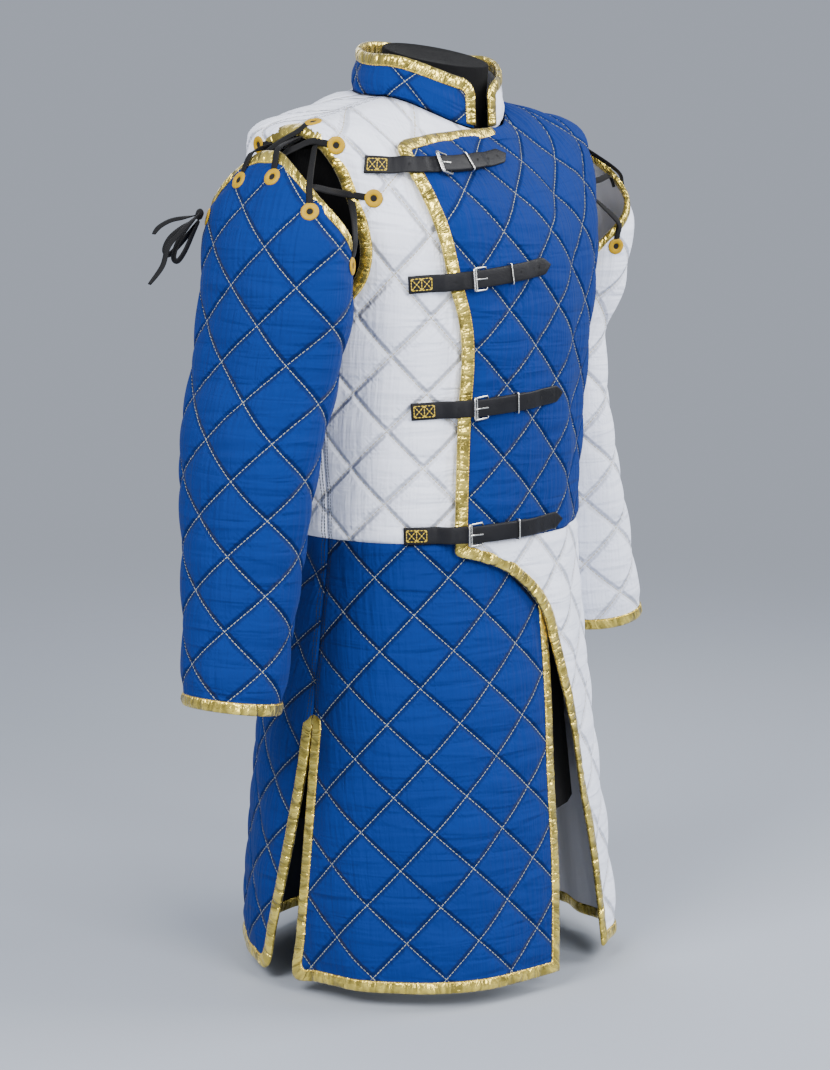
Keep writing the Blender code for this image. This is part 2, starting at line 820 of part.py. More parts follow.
def left_front_band():
    """Binding of the left front: neck, lap, cut-away, hem and side slit, as (edge, inner) pairs."""
    corner = flat(LEFT_FRONT, LAP_CORNER)
    foot = flat(LEFT_FRONT, LAP_FOOT)
    tip = flat(LEFT_FRONT, CUTAWAY_TIP)
    slit = slit_edge(LEFT_FRONT, 1, FRONT_SLIT_SPREAD)
    path = smooth_path([flat(LEFT_FRONT, p) for p in LAP_NECKLINE], 2)
    path += [corner]
    path += [flat(LEFT_FRONT, p) for p in LAP_EDGE] + [foot]
    path += [flat(LEFT_FRONT, p) for p in CUTAWAY] + [tip]
    path += resampled([tip, slit[0]], BAND_STEP)[1:] + slit[1:]
    return list(zip(path, inset(LEFT_FRONT, path, BAND_WIDTH))) + slit_top(LEFT_FRONT, 1)


def right_front_band():
    slit = slit_edge(FRONT, -1, FRONT_SLIT_SPREAD)
    centre = [flat(FRONT, p) for p in RIGHT_CENTRE_EDGE + [RIGHT_CENTRE_TOP]]
    path = slit[::-1] + resampled([slit[0], centre[0]], BAND_STEP)[1:] + centre[1:]
    return slit_top(FRONT, -1)[::-1] + list(zip(path, inset(FRONT, path, BAND_WIDTH)))


def back_band():
    right, left = (slit_edge(BACK, sign, BACK_SLIT_SPREAD) for sign in (-1, 1))
    path = right[::-1] + resampled([right[0], left[0]], BAND_STEP)[1:] + left[1:]
    pairs = list(zip(path, inset(BACK, path, BAND_WIDTH)))
    return slit_top(BACK, -1)[::-1] + pairs + slit_top(BACK, 1)


def armhole_pairs(cloth, sign):
    """(edge, inner) pairs of an armhole, from the shoulder seam down to the side seam."""
    side = "front" if cloth.side == "front" else "back"

    def at(row, inward):
        v = cloth.v_of_row(row)
        return Vector((sign * (cloth.reach(v) - inward), v))

    path = [at(ARMHOLE_TOP_ROW, 0.0)]
    path += [at(point.row, getattr(point, side)) for point in ARMHOLE]
    path += [at(ARMHOLE_FOOT_ROW, 0.0)]
    inner = []
    for point in inset(cloth, path, -BAND_WIDTH * sign):
        reach = min(abs(point.x), cloth.reach(point.y) - SIDE_GAP)
        inner.append(Vector((sign * reach, point.y)))
    inner[0] = along_side(cloth, sign, path[0].y, BAND_WIDTH)
    inner[-1] = along_side(cloth, sign, path[-1].y, -BAND_WIDTH)
    return list(zip(path, inner))


def along_side(cloth, sign, v, distance):
    """Flat point on the side line, this far up or down the worn line from height v."""
    start = cloth.bare(cloth.reach(v), v)
    rise = distance
    for _ in range(6):
        found = cloth.bare(cloth.reach(v + rise), v + rise)
        rise *= abs(distance) / (found - start).length
    return Vector((sign * cloth.reach(v + rise), v + rise))


def shoulder_helpers(cloth, sign):
    """Flat points in two rows round the top of an armhole, where the shoulder turns."""
    path = [inner for edge, inner in armhole_pairs(cloth, sign)[1:6]]
    near = inset(cloth, path, -HELPER_STEP * sign)
    return near + inset(cloth, path, -2.4 * HELPER_STEP * sign)


def past(pair, gap=BAND_GAP):
    """A cloth point just beyond a band's inner edge."""
    edge, inner = pair
    return inner + (inner - edge).normalized() * gap


def from_side(cloth, sign, v, gap=SIDE_GAP):
    return Vector((sign * (cloth.reach(v) - gap), v))


def side_seam(cloth, sign, low, high):
    """Flat points up the side line, between two heights."""
    count = max(int((high - low) / 45), 2)
    return [from_side(cloth, sign, low + (high - low) * i / count) for i in range(count + 1)]


def upper_edges(cloth, sign):
    """Side seam, armhole and shoulder seam of a front or back half, from the slit to the neck."""
    slit_head = past(slit_top(cloth, sign)[-1])
    arm = armhole_pairs(cloth, sign)[::-1]
    neck_v = cloth.v_of_row(len(BODY_ROWS) - 1) - SEAM_GAP
    foot = past(arm[0])
    path = side_seam(cloth, sign, slit_head.y, foot.y)
    turn = cloth.v_of_row(SHOULDER_TURN_ROW)
    path += [past(pair, TURN_GAP if pair[0].y > turn else BAND_GAP) for pair in arm[1:-1]]
    path += side_seam(cloth, sign, past(arm[-1]).y, neck_v)
    return path


def left_front_outline():
    band = [past(pair) for pair in left_front_band()]
    neck_v = LEFT_FRONT.v_of_row(len(BODY_ROWS) - 1) - SEAM_GAP
    neck_s = LEFT_FRONT.reach(neck_v)
    band[0] = Vector((1.0, band[0].y))
    neckline = [Vector((neck_s * i / 4, neck_v)) for i in (3, 2, 1)]
    return band[:-1] + upper_edges(LEFT_FRONT, 1) + neckline + [Vector((1.0, neck_v))]


def right_front_outline():
    band = [past(pair) for pair in right_front_band()]
    neck_v = FRONT.v_of_row(len(BODY_ROWS) - 1) - SEAM_GAP
    neck_s = FRONT.reach(neck_v)
    neckline = [Vector((-neck_s * i / 4, neck_v)) for i in (3, 2)]
    edges = upper_edges(FRONT, -1)
    return band[1:] + [Vector((band[-1].x, neck_v))] + neckline[::-1] + edges[::-1]


def back_outline(sign):
    pairs = back_band()
    pairs = pairs if sign > 0 else pairs[::-1]
    band = [past(pair) for pair in pairs if pair[0].x * sign > 0]
    centre = SEAM_GAP / 2 * sign
    neck_v = BACK.v_of_row(len(BODY_ROWS) - 1) - SEAM_GAP
    neck_s = BACK.reach(neck_v)
    hem_v = HEM_Z + BAND_WIDTH + SEAM_GAP
    path = [Vector((centre, hem_v))] + [p for p in band[:-1] if abs(p.x) > 12]
    path += upper_edges(BACK, sign)
    path += [Vector((sign * neck_s * i / 3, neck_v)) for i in (2, 1)] + [Vector((centre, neck_v))]
    return path if sign > 0 else path[::-1]


# ---------------------------------------------------------------- the pieces

WHITE_CHEST = Quilt(-145, 609)
BLUE_CHEST = Quilt(-19, 656)
BLUE_SKIRT = Quilt(-38, 411)
WHITE_SKIRT = Quilt(30, 411)
BACK_QUILT = Quilt(0, 411)
SLEEVE_QUILT = Quilt(-52, 606)
COLLAR_QUILT = Quilt(60, 20)


def make_body_panels():
    waist = FRONT.v_of_level(WAIST_Z)
    back_waist = BACK.v_of_level(WAIST_Z)
    half_gap = SEAM_GAP / 2

    def uncovered(point):
        """Pillows lie flat under the lap."""
        edge = lap_edge_s(FRONT, point.y)
        return 1 - soft_step(point.x, edge - 22, edge - 6)

    right = right_front_outline()
    left = left_front_outline()
    halves = [
        ("front_right_upper", FRONT, cut_at(right, waist + half_gap, True), WHITE_CHEST, "white", uncovered),
        ("front_right_skirt", FRONT, cut_at(right, waist - half_gap, False), BLUE_SKIRT, "blue", uncovered),
        ("front_left_upper", LEFT_FRONT, cut_at(left, waist + half_gap, True), BLUE_CHEST, "blue", None),
        ("front_left_skirt", LEFT_FRONT, cut_at(left, waist - half_gap, False), WHITE_SKIRT, "white", None),
    ]
    for sign, side, upper, skirt in ((-1, "right", "white", "blue"), (1, "left", "blue", "white")):
        outline = back_outline(sign)
        above = cut_at(outline, back_waist + half_gap, True)
        below = cut_at(outline, back_waist - half_gap, False)
        halves.append((f"back_{side}_upper", BACK, above, BACK_QUILT, upper, None))
        halves.append((f"back_{side}_skirt", BACK, below, BACK_QUILT, skirt, None))
    for half in halves:
        name, cloth = half[:2]
        sign = -1 if "right" in name else 1
        quilted_panel(*half, shoulder_helpers(cloth, sign) if "upper" in name else ())


def make_body_bindings():
    binding("binding_front_left", [(LEFT_FRONT, *pair) for pair in left_front_band()])
    binding("binding_front_right", [(FRONT, *pair) for pair in right_front_band()])
    binding("binding_back", [(BACK, *pair) for pair in back_band()])
    for sign, side in ((-1, "right"), (1, "left")):
        front_cloth = FRONT if sign < 0 else LEFT_FRONT
        front = [(front_cloth, *pair) for pair in armhole_pairs(front_cloth, sign)]
        back = [(BACK, *pair) for pair in armhole_pairs(BACK, sign)]
        binding(f"binding_armhole_{side}", front + back[-2:0:-1], closed=True)


def sleeve_head_v(part):
    """Height of a sleeve's head at this part of the way round from its outer line."""
    drop = soft_step(abs(part), 0.06, 1.0)
    return SLEEVE_HEAD_TOP + (SLEEVE_HEAD_UNDER - SLEEVE_HEAD_TOP) * drop


def make_sleeve(side):
    cloth = SLEEVES[side]
    low = cloth.rows[0].z
    count = 14
    parts = [-1 + 2 * i / count for i in range(count + 1)]

    def around(part, v, gap=0.0):
        reach = cloth.reach(v)
        return Vector((part * (reach - gap), v))

    head = [(around(p, sleeve_head_v(p)), around(p, sleeve_head_v(p) - BAND_WIDTH)) for p in parts]
    cuff = [(around(p, low), around(p, low + BAND_WIDTH)) for p in parts]
    binding(f"binding_sleeve_head_{side}", [(cloth, *pair) for pair in head[:-1]], closed=True)
    binding(f"binding_cuff_{side}", [(cloth, *pair) for pair in cuff[:-1]], closed=True)
    foot_v = low + BAND_WIDTH + SEAM_GAP
    top_v = SLEEVE_HEAD_UNDER - BAND_WIDTH - BAND_GAP
    heights = [foot_v + (top_v - foot_v) * i / 8 for i in range(9)]
    outline = [around(p, foot_v, SEAM_GAP / 2) for p in parts]
    outline += [around(1, v, SEAM_GAP / 2) for v in heights[1:-1]]
    outline += [around(p, sleeve_head_v(p) - BAND_WIDTH - BAND_GAP, SEAM_GAP / 2) for p in parts[::-1]]
    outline += [around(-1, v, SEAM_GAP / 2) for v in heights[-2:0:-1]]
    color = "blue" if side == "right" else "white"
    quilted_panel(f"sleeve_{side}", cloth, outline, SLEEVE_QUILT, color)


def make_collar(side, sign, start, color):
    top = CollarCloth.height
    reach_low = COLLAR.reach(0.0)
    corner = [
        Vector((start + COLLAR_CORNER * (1 - math.sin(t)), top - COLLAR_CORNER * (1 - math.cos(t))))
        for t in (math.pi / 2, math.pi / 3, math.pi / 6, 0.0)
    ]
    reach_top = COLLAR.reach(top)
    path = [Vector((start, 0.0))] + corner
    path += [Vector((start + (reach_top - start) * i / 7, top)) for i in range(2, 7)]
    path += [Vector((reach_top - SEAM_GAP / 2, top))]
    inner = inset(COLLAR, path, -BAND_WIDTH)
    inner[-1] = Vector((COLLAR.reach(top - BAND_WIDTH) - SEAM_GAP / 2, top - BAND_WIDTH))
    pairs = list(zip(path, inner))
    outline = [Vector((reach_low - SEAM_GAP / 2, 0.0))]
    outline += [past(pair) for pair in pairs[::-1]]
    outline[1].x = pairs[-1][1].x
    outline[-1] = Vector((outline[-1].x, 0.0))
    outline += [Vector((start + (reach_low - start) * i / 6, 0.0)) for i in range(1, 6)]

    def turned(point):
        return Vector((point.x * sign, point.y))

    lift = collar_lap if side == "left" else None
    cloth = CollarCloth(lift)
    binding(f"binding_collar_{side}", [(cloth, turned(a), turned(b)) for a, b in pairs])
    quilted_panel(f"collar_{side}", cloth, [turned(p) for p in outline], COLLAR_QUILT, color)


def collar_lap(s, v):
    return LAP_LIFT * 0.6 * (1 - soft_step(s, 0.0, 45.0))


# ---------------------------------------------------------------- straps, buckles and keepers

CHAPE_THICK = 2.4
WIRE = 2.4
LEATHER_GAP = 0.35
CHAPE_START, CHAPE_END = 20.0, 13.0      # its second section past the buckle, its end past the keeper
WINDOW = 13.0
RAMP = 24.0
BUCKLE_HALF = 9.5
KEEPER_WIRE = 1.8
BAR_GAP = 1.2
FOLD_DROP = 0.2


def puff_height(quilt, s, v):
    """Height of the faceted diamond pattern at a flat point."""
    p, q = diamond(quilt, s, v)
    off = 2 * max(abs(p - math.floor(p) - 0.5), abs(q - math.floor(q) - 0.5))
    return PILLOW * min(1.0, (1 - off) * 1.7)


def highest(quilt, s, v, edge):
    """Highest puff under a strap here; it is low near the waist seam and beside the lap's binding."""
    half = STRAP_WIDTH / 2
    waist = FRONT.v_of_level(WAIST_Z)
    best = 0.0
    for i in range(-2, 3):
        for j in range(-2, 3):
            s_here, v_here = s + i * WINDOW / 2, v + j * half / 2
            fade = min(abs(v_here - waist) / EDGE_FADE, 1.0)
            if edge is not None:
                fade *= min(max(s_here - edge - BAND_WIDTH, 0.0) / EDGE_FADE, 1.0)
            best = max(best, puff_height(quilt, s_here, v_here) * fade)
    return best


def panel_top(row, s):
    """Height of the cloth under a strap, over the front's form."""
    v = strap_v(row, s)
    below = v < FRONT.v_of_level(WAIST_Z)
    edge = lap_edge_s(FRONT, v)
    right = CLOTH + highest(BLUE_SKIRT if below else WHITE_CHEST, s, v, None)
    band = BAND_CLOTH + BAND_CROWN
    left = LAP_LIFT + CLOTH + highest(WHITE_SKIRT if below else BLUE_CHEST, s, v, edge)
    if s < edge + BAND_WIDTH + WINDOW:
        left = max(left, LAP_LIFT + CLOTH + band)
    return right + (left - right) * soft_step(s, edge - 20, edge - 3)


def strap_height(row, s):
    """Height of a strap's underside: on the cloth, over the buckle's leather, and down again."""
    over = soft_step(s, row.buckle_s - 16, row.buckle_s - 2)
    over *= 1 - soft_step(s, row.keeper_s + CHAPE_END + 9, row.keeper_s + CHAPE_END + RAMP)
    top = panel_top(row, s)
    if row.buckle_s - 16 < s < row.keeper_s + CHAPE_END + RAMP:
        top += (chape_base(row) - LEATHER_GAP - top) * over
    return top + LEATHER_GAP + over * (CHAPE_THICK + LEATHER_GAP)


def chape_base(row):
    """One height for the buckle's leather, on the highest cloth under it."""
    first, last = row.buckle_s - 4, row.keeper_s + CHAPE_END
    return LEATHER_GAP + max(panel_top(row, first + (last - first) * i / 6) for i in range(7))


def strap_v(row, s):
    part = (s - row.start_s) / (row.end_s - row.start_s)
    return FRONT.v_of_level(row.start_level + (row.end_level - row.start_level) * part)


def strap_frame(row, s):
    """Point under a strap's middle, and the directions along, across and out of it."""
    v = strap_v(row, s)
    point = FRONT.bare(s, v)
    out = FRONT.normal(s, v)
    along = (FRONT.bare(s + PROBE, strap_v(row, s + PROBE)) - FRONT.bare(s - PROBE, strap_v(row, s - PROBE)))
    along = along.normalized()
    across = out.cross(along).normalized()
    return point, along, across, out


def strap_section(row, s, half_width, base, thick):
    point, _, across, out = strap_frame(row, s)
    low, high = point + out * base, point + out * (base + thick)
    return [low - across * half_width, low + across * half_width, high + across * half_width,
            high - across * half_width]


def make_strap(row):
    point_length = 16.0
    stations = [row.start_s + (row.end_s - point_length - row.start_s) * i / 13 for i in range(14)]
    sections = [
        strap_section(row, s, STRAP_WIDTH / 2, strap_height(row, s), STRAP_THICK) for s in stations
    ]
    sections.append(strap_section(row, row.end_s, 0.8, strap_height(row, row.end_s), STRAP_THICK))
    loft(f"strap_{row.name}", sections, "leather")

    point, along, across, out = strap_frame(row, row.buckle_s)
    fold = point + along * (BUCKLE_HALF + WIRE / 2 + LEATHER_GAP)
    low, high = fold + out * (chape_base(row) - FOLD_DROP), fold + out * (chape_base(row) + 1.6)
    side = across * STRAP_WIDTH / 2
    sections = [[low - side, low + side, high + side, high - side]]
    start, end = row.buckle_s + CHAPE_START, row.keeper_s + CHAPE_END
    for i in range(4):
        s = start + (end - start) * i / 3
        sections.append(strap_section(row, s, STRAP_WIDTH / 2, chape_base(row), CHAPE_THICK))
    loft(f"chape_{row.name}", sections, "leather")


def bent_wire(name, corners, radius, color, closed=True):
    """A wire through corner points, with a square section turned to the wire's plane."""
    centre = sum(corners, Vector()) / len(corners)
    plane = (corners[1] - corners[0]).cross(corners[2] - corners[1]).normalized()
    sections = []
    for i, corner in enumerate(corners):
        away = (corner - centre).normalized() * radius
        if not closed and i in (0, len(corners) - 1):
            inward = corners[1] - corners[0] if i == 0 else corners[-2] - corners[-1]
            away = (corner - centre - (corner - centre).project(inward)).normalized() * radius
        side = plane * radius
        sections.append([corner + away, corner + side, corner - away, corner - side])
    loft(name, sections, color, closed)


def make_buckle(row):
    """A wire frame: its left bar lies over the strap and its right bar in the leather's fold."""
    point, along, across, out = strap_frame(row, row.buckle_s)
    radius = WIRE / 2
    strap_top = max(strap_height(row, row.buckle_s - BUCKLE_HALF + step) for step in (-3, 0, 4))
    high = strap_top + STRAP_THICK + radius + BAR_GAP
    low = chape_base(row) + CHAPE_THICK / 2 - LEATHER_GAP
    wide = STRAP_WIDTH / 2 + radius + 1.0
    corners = [
        point - along * BUCKLE_HALF + across * wide + out * high,
        point - along * BUCKLE_HALF - across * wide + out * high,
        point + along * BUCKLE_HALF - across * wide + out * low,
        point + along * BUCKLE_HALF + across * wide + out * low,
    ]
    bent_wire(f"buckle_{row.name}", corners, radius, "nickel")


def make_keeper(row):
    """A thin wire bridge over the strap, whose legs are held in the sides of the buckle's leather."""
    point, along, across, out = strap_frame(row, row.keeper_s)
    radius = KEEPER_WIRE / 2
    low = chape_base(row) + LEATHER_GAP
    high = strap_height(row, row.keeper_s) + STRAP_THICK + radius + LEATHER_GAP
    wide = STRAP_WIDTH / 2 + radius + LEATHER_GAP + 0.2
    corners = [
        point + across * wide + out * low, point + across * wide + out * high,
        point - across * wide + out * high, point - across * wide + out * low,
    ]
    bent_wire(f"keeper_{row.name}", corners, radius, "nickel", closed=False)


# ---------------------------------------------------------------- laces of the sleeves

LACE_WIDTH, LACE_THICK = 7.0, 1.6
LaceEnd = namedtuple("LaceEnd", "on where away")
EYELET_DROP = 26.0
# One lace for each shoulder: eyelets in the order that it passes them, from the front to the bow.
# On the body where is the row, and away lies in from the side line; on the sleeve where is the part
# of the way round from the outer line to the front, and away is below the head's edge.
LACE_ROUTE = [
    LaceEnd("sleeve", 0.56, EYELET_DROP), LaceEnd("front", 7.26, 86), LaceEnd("sleeve", 0.34, EYELET_DROP),
    LaceEnd("front", 7.89, 50), LaceEnd("sleeve", 0.10, EYELET_DROP), LaceEnd("front", 8.3, 14),
    LaceEnd("sleeve", -0.16, EYELET_DROP), LaceEnd("back", 7.8, 52), LaceEnd("sleeve", -0.38, EYELET_DROP),
]
SLEEVE_LACE_CLIMB, SLEEVE_LACE_RISE, BODY_LACE_RISE = 4.2, 5.6, 0.6
LACE_ARCH = 2.0
LACE_TURN, LACE_TURN_STEPS = 4.4, 4   # the lace turns round an eyelet on this radius


def armhole_inward(row, side):
    """How far the armhole's edge lies in from the side line at this row."""
    table = [ArmholePoint(ARMHOLE_TOP_ROW, 0, 0)] + ARMHOLE
    for high, low in zip(table, table[1:]):
        if row >= low.row:
            u = (row - low.row) / (high.row - low.row)
            return getattr(low, side) + u * (getattr(high, side) - getattr(low, side))
    return getattr(table[-1], side)


def lace_stops(side, end):
    """The cloth of an eyelet, with three flat points: the eyelet, the quilting and the binding beside it."""
    if end.on == "sleeve":
        cloth = SLEEVES[side]
        edge_v = sleeve_head_v(end.where)
        heights = (edge_v - end.away, edge_v - BAND_WIDTH + 1, edge_v + 1)
        return cloth, [Vector((-cloth.sign * end.where * cloth.reach(v), v)) for v in heights]
    sign = -1 if side == "right" else 1
    cloth = {"front": FRONT if side == "right" else LEFT_FRONT, "back": BACK}[end.on]
    if end.where > ARMHOLE_TOP_ROW:
        mouth_row, mouth_away = ARMHOLE_TOP_ROW + 0.06, end.away * 0.6
    else:
        mouth_row = end.where
        mouth_away = armhole_inward(end.where, end.on) + BAND_WIDTH * 0.4
    middle = ((end.where + mouth_row) / 2, (end.away + mouth_away) / 2)
    points = []
    for row, away in ((end.where, end.away), middle, (mouth_row, mouth_away)):
        v = cloth.v_of_row(row)
        points.append(Vector((sign * (cloth.reach(v) - away), v)))
    return cloth, points


def lace_points(side, end):
    """The lace's way in to an eyelet, round it and out again, as places with their ways out."""
    cloth, (eyelet, quilting, mouth) = lace_stops(side, end)
    over = CLOTH + BAND_CLOTH + BAND_CROWN + LACE_THICK / 2
    low = CLOTH + PILLOW + LACE_THICK / 2 + TOUCH
    to_edge = (mouth - eyelet).normalized()
    to_back = Vector((-to_edge.y, to_edge.x))
    if end.on == "sleeve":
        rises = (low, low + SLEEVE_LACE_CLIMB, over + SLEEVE_LACE_RISE)
        back_way = Vector((cloth.sign, 0))
    else:
        rises = (low, low, over + BODY_LACE_RISE)
        back_way = Vector((-1 if side == "right" else 1, 1)) * (1 if end.on == "front" else -1)
    to_back *= 1 if to_back.dot(back_way) > 0 else -1
    flat = [(stop - to_back * LACE_TURN, rise) for stop, rise in zip((mouth, quilting), rises[:0:-1])]
    for i in range(LACE_TURN_STEPS + 1):
        turn = math.pi * i / LACE_TURN_STEPS
        flat.append((eyelet - (to_back * math.cos(turn) + to_edge * math.sin(turn)) * LACE_TURN, low))
    flat += [(stop + to_back * LACE_TURN, rise) for stop, rise in zip((quilting, mouth), rises[1:])]
    return [(cloth.place(p.x, p.y, rise), cloth.normal(p.x, p.y)) for p, rise in flat]


def flat_strip(name, places, outs, width, thick, color):
    """A flat band through places, whose faces look along outs."""
    sections = []
    for i, place in enumerate(places):
        along = (places[min(i + 1, len(places) - 1)] - places[max(i - 1, 0)]).normalized()
        across = outs[i].cross(along).normalized() * width / 2
        up = along.cross(across).normalized() * thick / 2
        up *= 1 if up.dot(outs[i]) > 0 else -1
        sections.append([place - across - up, place + across - up, place + across + up,
                         place - across + up])
    return loft(name, sections, color)


def make_lace(side):
    places, outs = [], []
    half_turn = 2 + LACE_TURN_STEPS // 2
    for i, end in enumerate(LACE_ROUTE):
        points = lace_points(side, end)
        if i == 0:
            points = points[half_turn:]
        elif i == len(LACE_ROUTE) - 1:
            points = points[:half_turn + 1]
        if i:
            place, out = points[0]
            outs.append((outs[-1] + out).normalized())
            places.append(places[-1].lerp(place, 0.5) + outs[-1] * LACE_ARCH)
        for place, out in points:
            places.append(place)
            outs.append(out)
    flat_strip(f"lace_{side}", places, outs, LACE_WIDTH, LACE_THICK, "lace")


# Bow of a lace, behind the sleeve's head, over the last eyelet. Its places count from the knot:
# across towards the outer line, down the cloth, and out from it.
BowPoint = namedtuple("BowPoint", "across down out")
BOW_LOOPS = {
    "1": [BowPoint(-3.6, 5.6, 3), BowPoint(-4, 16, 14), BowPoint(-4, 31, 24), BowPoint(-4, 45, 27),
          BowPoint(-4, 50, 22), BowPoint(-4, 40, 15), BowPoint(-4, 22, 6), BowPoint(-3.6, 7.5, -0.5)],
    "2": [BowPoint(3.6, 5.8, 3), BowPoint(4.5, 20, 10), BowPoint(5, 36, 16), BowPoint(5, 53, 17),
          BowPoint(5, 56, 12), BowPoint(5, 44, 7), BowPoint(4.5, 24, 3), BowPoint(3.6, 8.0, -0.5)],
}
LACE_ENDS = {
    "1": [BowPoint(-7.9, 0, 2), BowPoint(-12, 5, 14), BowPoint(-12, 12, 27), BowPoint(-12, 22, 37),
          BowPoint(-12, 31, 41)],
    "2": [BowPoint(8.9, 1.6, 1), BowPoint(13, 20, 12), BowPoint(13.4, 45, 25), BowPoint(13.4, 68, 27),
          BowPoint(12, 90, 36)],
}
KNOT_SIZE, KNOT_FLATNESS = 6.5, 0.7
BOW_WIDTH, BOW_THICK = 6.0, 1.4


def knot_frame(side):
    """Middle of a bow's knot, and the directions across, down and out of the cloth there."""
    cloth = SLEEVES[side]
    end = LACE_ROUTE[-1]
    v = sleeve_head_v(end.where) - end.away
    s = -cloth.sign * end.where * cloth.reach(v)
    out = cloth.normal(s, v)
    down = (cloth.bare(s, v - PROBE) - cloth.bare(s, v)).normalized()
    across = out.cross(down).normalized() * -cloth.sign
    rise = CLOTH + PILLOW + LACE_THICK + 2 * TOUCH + KNOT_SIZE * KNOT_FLATNESS
    return cloth.bare(s, v) + out * rise, across, down, out


def make_bow(side):
    middle, across, down, out = knot_frame(side)
    sections = []
    for turn in (0.15, 0.5, 0.85):
        ring_radius = KNOT_SIZE * math.sin(turn * math.pi)
        level = middle + out * KNOT_SIZE * KNOT_FLATNESS * math.cos(turn * math.pi)
        sections.append([
            level + (across * math.cos(i * math.pi / 4) + down * math.sin(i * math.pi / 4)) * ring_radius
            for i in range(8)
        ])
    loft(f"bow_knot_{side}", sections, "lace")
    for kind, shapes in (("bow_loop", BOW_LOOPS), ("lace_end", LACE_ENDS)):
        for number, points in shapes.items():
            stops = [middle + across * p.across + down * p.down + out * p.out for p in points]
            places = smooth_path(stops, 2)
            faces = [
                (places[min(i + 1, len(places) - 1)] - places[max(i - 1, 0)]).cross(across).normalized()
                for i in range(len(places))
            ]
            flat_strip(f"{kind}_{side}_{number}", places, faces, BOW_WIDTH, BOW_THICK, "lace")


# ---------------------------------------------------------------- dress form and stand

FORM_SIDES = 28


def form_ring(row, ease, seat=0.0):
    """Ring of the form inside the coat's. seat brings it up to the shoulder seam's underside."""
    ring = []
    slope = soft_step(row, 7.5, 8.6)
    for i in range(FORM_SIDES):
        turn = 2 * math.pi * i / FORM_SIDES
        cloth = FRONT if math.cos(turn) > -1e-6 else BACK
        part = math.asin(min(abs(math.sin(turn)), 1.0)) / (math.pi / 2)
        point = cloth.turned(cloth.ring_point(row, part), math.copysign(1, math.sin(turn)))
        inward = Vector((-point.x, BODY_Y - point.y, 0)).normalized()
        here = ease * (1 - seat * soft_step(abs(math.sin(turn)), 0.95, 1.0))
        ring.append(point + inward * here * (1 - 0.6 * slope) + Vector((0, 0, -here * slope)))
    return ring


def make_form():
    """Smooth limbless torso with a neck block. It is closed across the arms and cut level below."""
    foot_row = FRONT.row_of(FRONT.v_of_level(FORM_FOOT_Z))
    foot = form_ring(foot_row, HIP_EASE)
    for point in foot:
        point.z = FORM_FOOT_Z
    sections = [foot]
    for row in (2.0, 3.0, 4.0, 5.0, 6.0, 6.7, 7.3, 7.8):
        ease = FORM_EASE + (HIP_EASE - FORM_EASE) * soft_step(4.0 - row, 0.0, 2.0)
        sections.append(form_ring(row, ease + ARM_EASE * soft_step(row, 5.6, 7.3)))
    for row, ease in ((8.3, 34.0), (9.0, 25.0), (9.5, 17.0)):
        sections.append(form_ring(row, ease, SHOULDER_SEAT if row == 9.0 else 0.0))
    for rise, shift in ((0.3, 2), (0.65, 5), (1.0, 8)):
        ring = []
        for i in range(FORM_SIDES):
            turn = 2 * math.pi * i / FORM_SIDES
            tilt = (1 + math.cos(turn)) / 2
            top = NECK_BLOCK_TOP_BACK + (NECK_BLOCK_TOP_FRONT - NECK_BLOCK_TOP_BACK) * tilt
            low = NECK_FOOT_BACK + (NECK_FOOT_FRONT - NECK_FOOT_BACK) * tilt
            x = NECK_HALF_WIDTH * math.sin(turn)
            y = BODY_Y - shift - NECK_HALF_DEPTH * math.cos(turn)
            ring.append(Vector((x, y, low + (top - low) * rise)))
        sections.append(ring)
    loft("dress_form", sections, "jersey")


def make_stand():
    middle = Vector((0, BODY_Y, FLOOR_Z + BASE_THICK / 2))
    bpy.ops.mesh.primitive_cylinder_add(
        vertices=32, radius=BASE_RADIUS * MM, depth=BASE_THICK * MM, location=metres(middle)
    )
    adopt("stand_base", "steel")
    low, high = FLOOR_Z + BASE_THICK + TOUCH, FORM_FOOT_Z - TOUCH
    bpy.ops.mesh.primitive_cylinder_add(
        vertices=16, radius=POLE_RADIUS * MM, depth=(high - low) * MM,
        location=metres(Vector((0, BODY_Y, (low + high) / 2))),
    )
    adopt("stand_pole", "steel")


def adopt(name, color):
    made = bpy.context.object
    made.name = name
    made.data.name = name
    made.data.materials.append(material(color))
    for owner in list(made.users_collection):
        owner.objects.unlink(made)
    COAT.objects.link(made)


# ---------------------------------------------------------------- build

COAT = bpy.data.collections.new("gambeson")
bpy.context.scene.collection.children.link(COAT)

make_body_panels()
make_body_bindings()
for arm in ("right", "left"):
    make_sleeve(arm)
make_collar("right", -1, COLLAR_FRONT_GAP_RIGHT, "blue")
make_collar("left", 1, COLLAR_FRONT_GAP_LEFT, "white")
for strap in STRAPS:
    make_strap(strap)
    make_buckle(strap)
    make_keeper(strap)
for arm in ("right", "left"):
    make_lace(arm)
    make_bow(arm)
make_form()
make_stand()
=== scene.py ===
"""Quilted, quartered coat with laced-on sleeves, on a limbless dress form: the finish of every piece."""

import bisect
import functools
import math
from collections import namedtuple

import bmesh
import bpy
import numpy as np
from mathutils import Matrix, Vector, noise


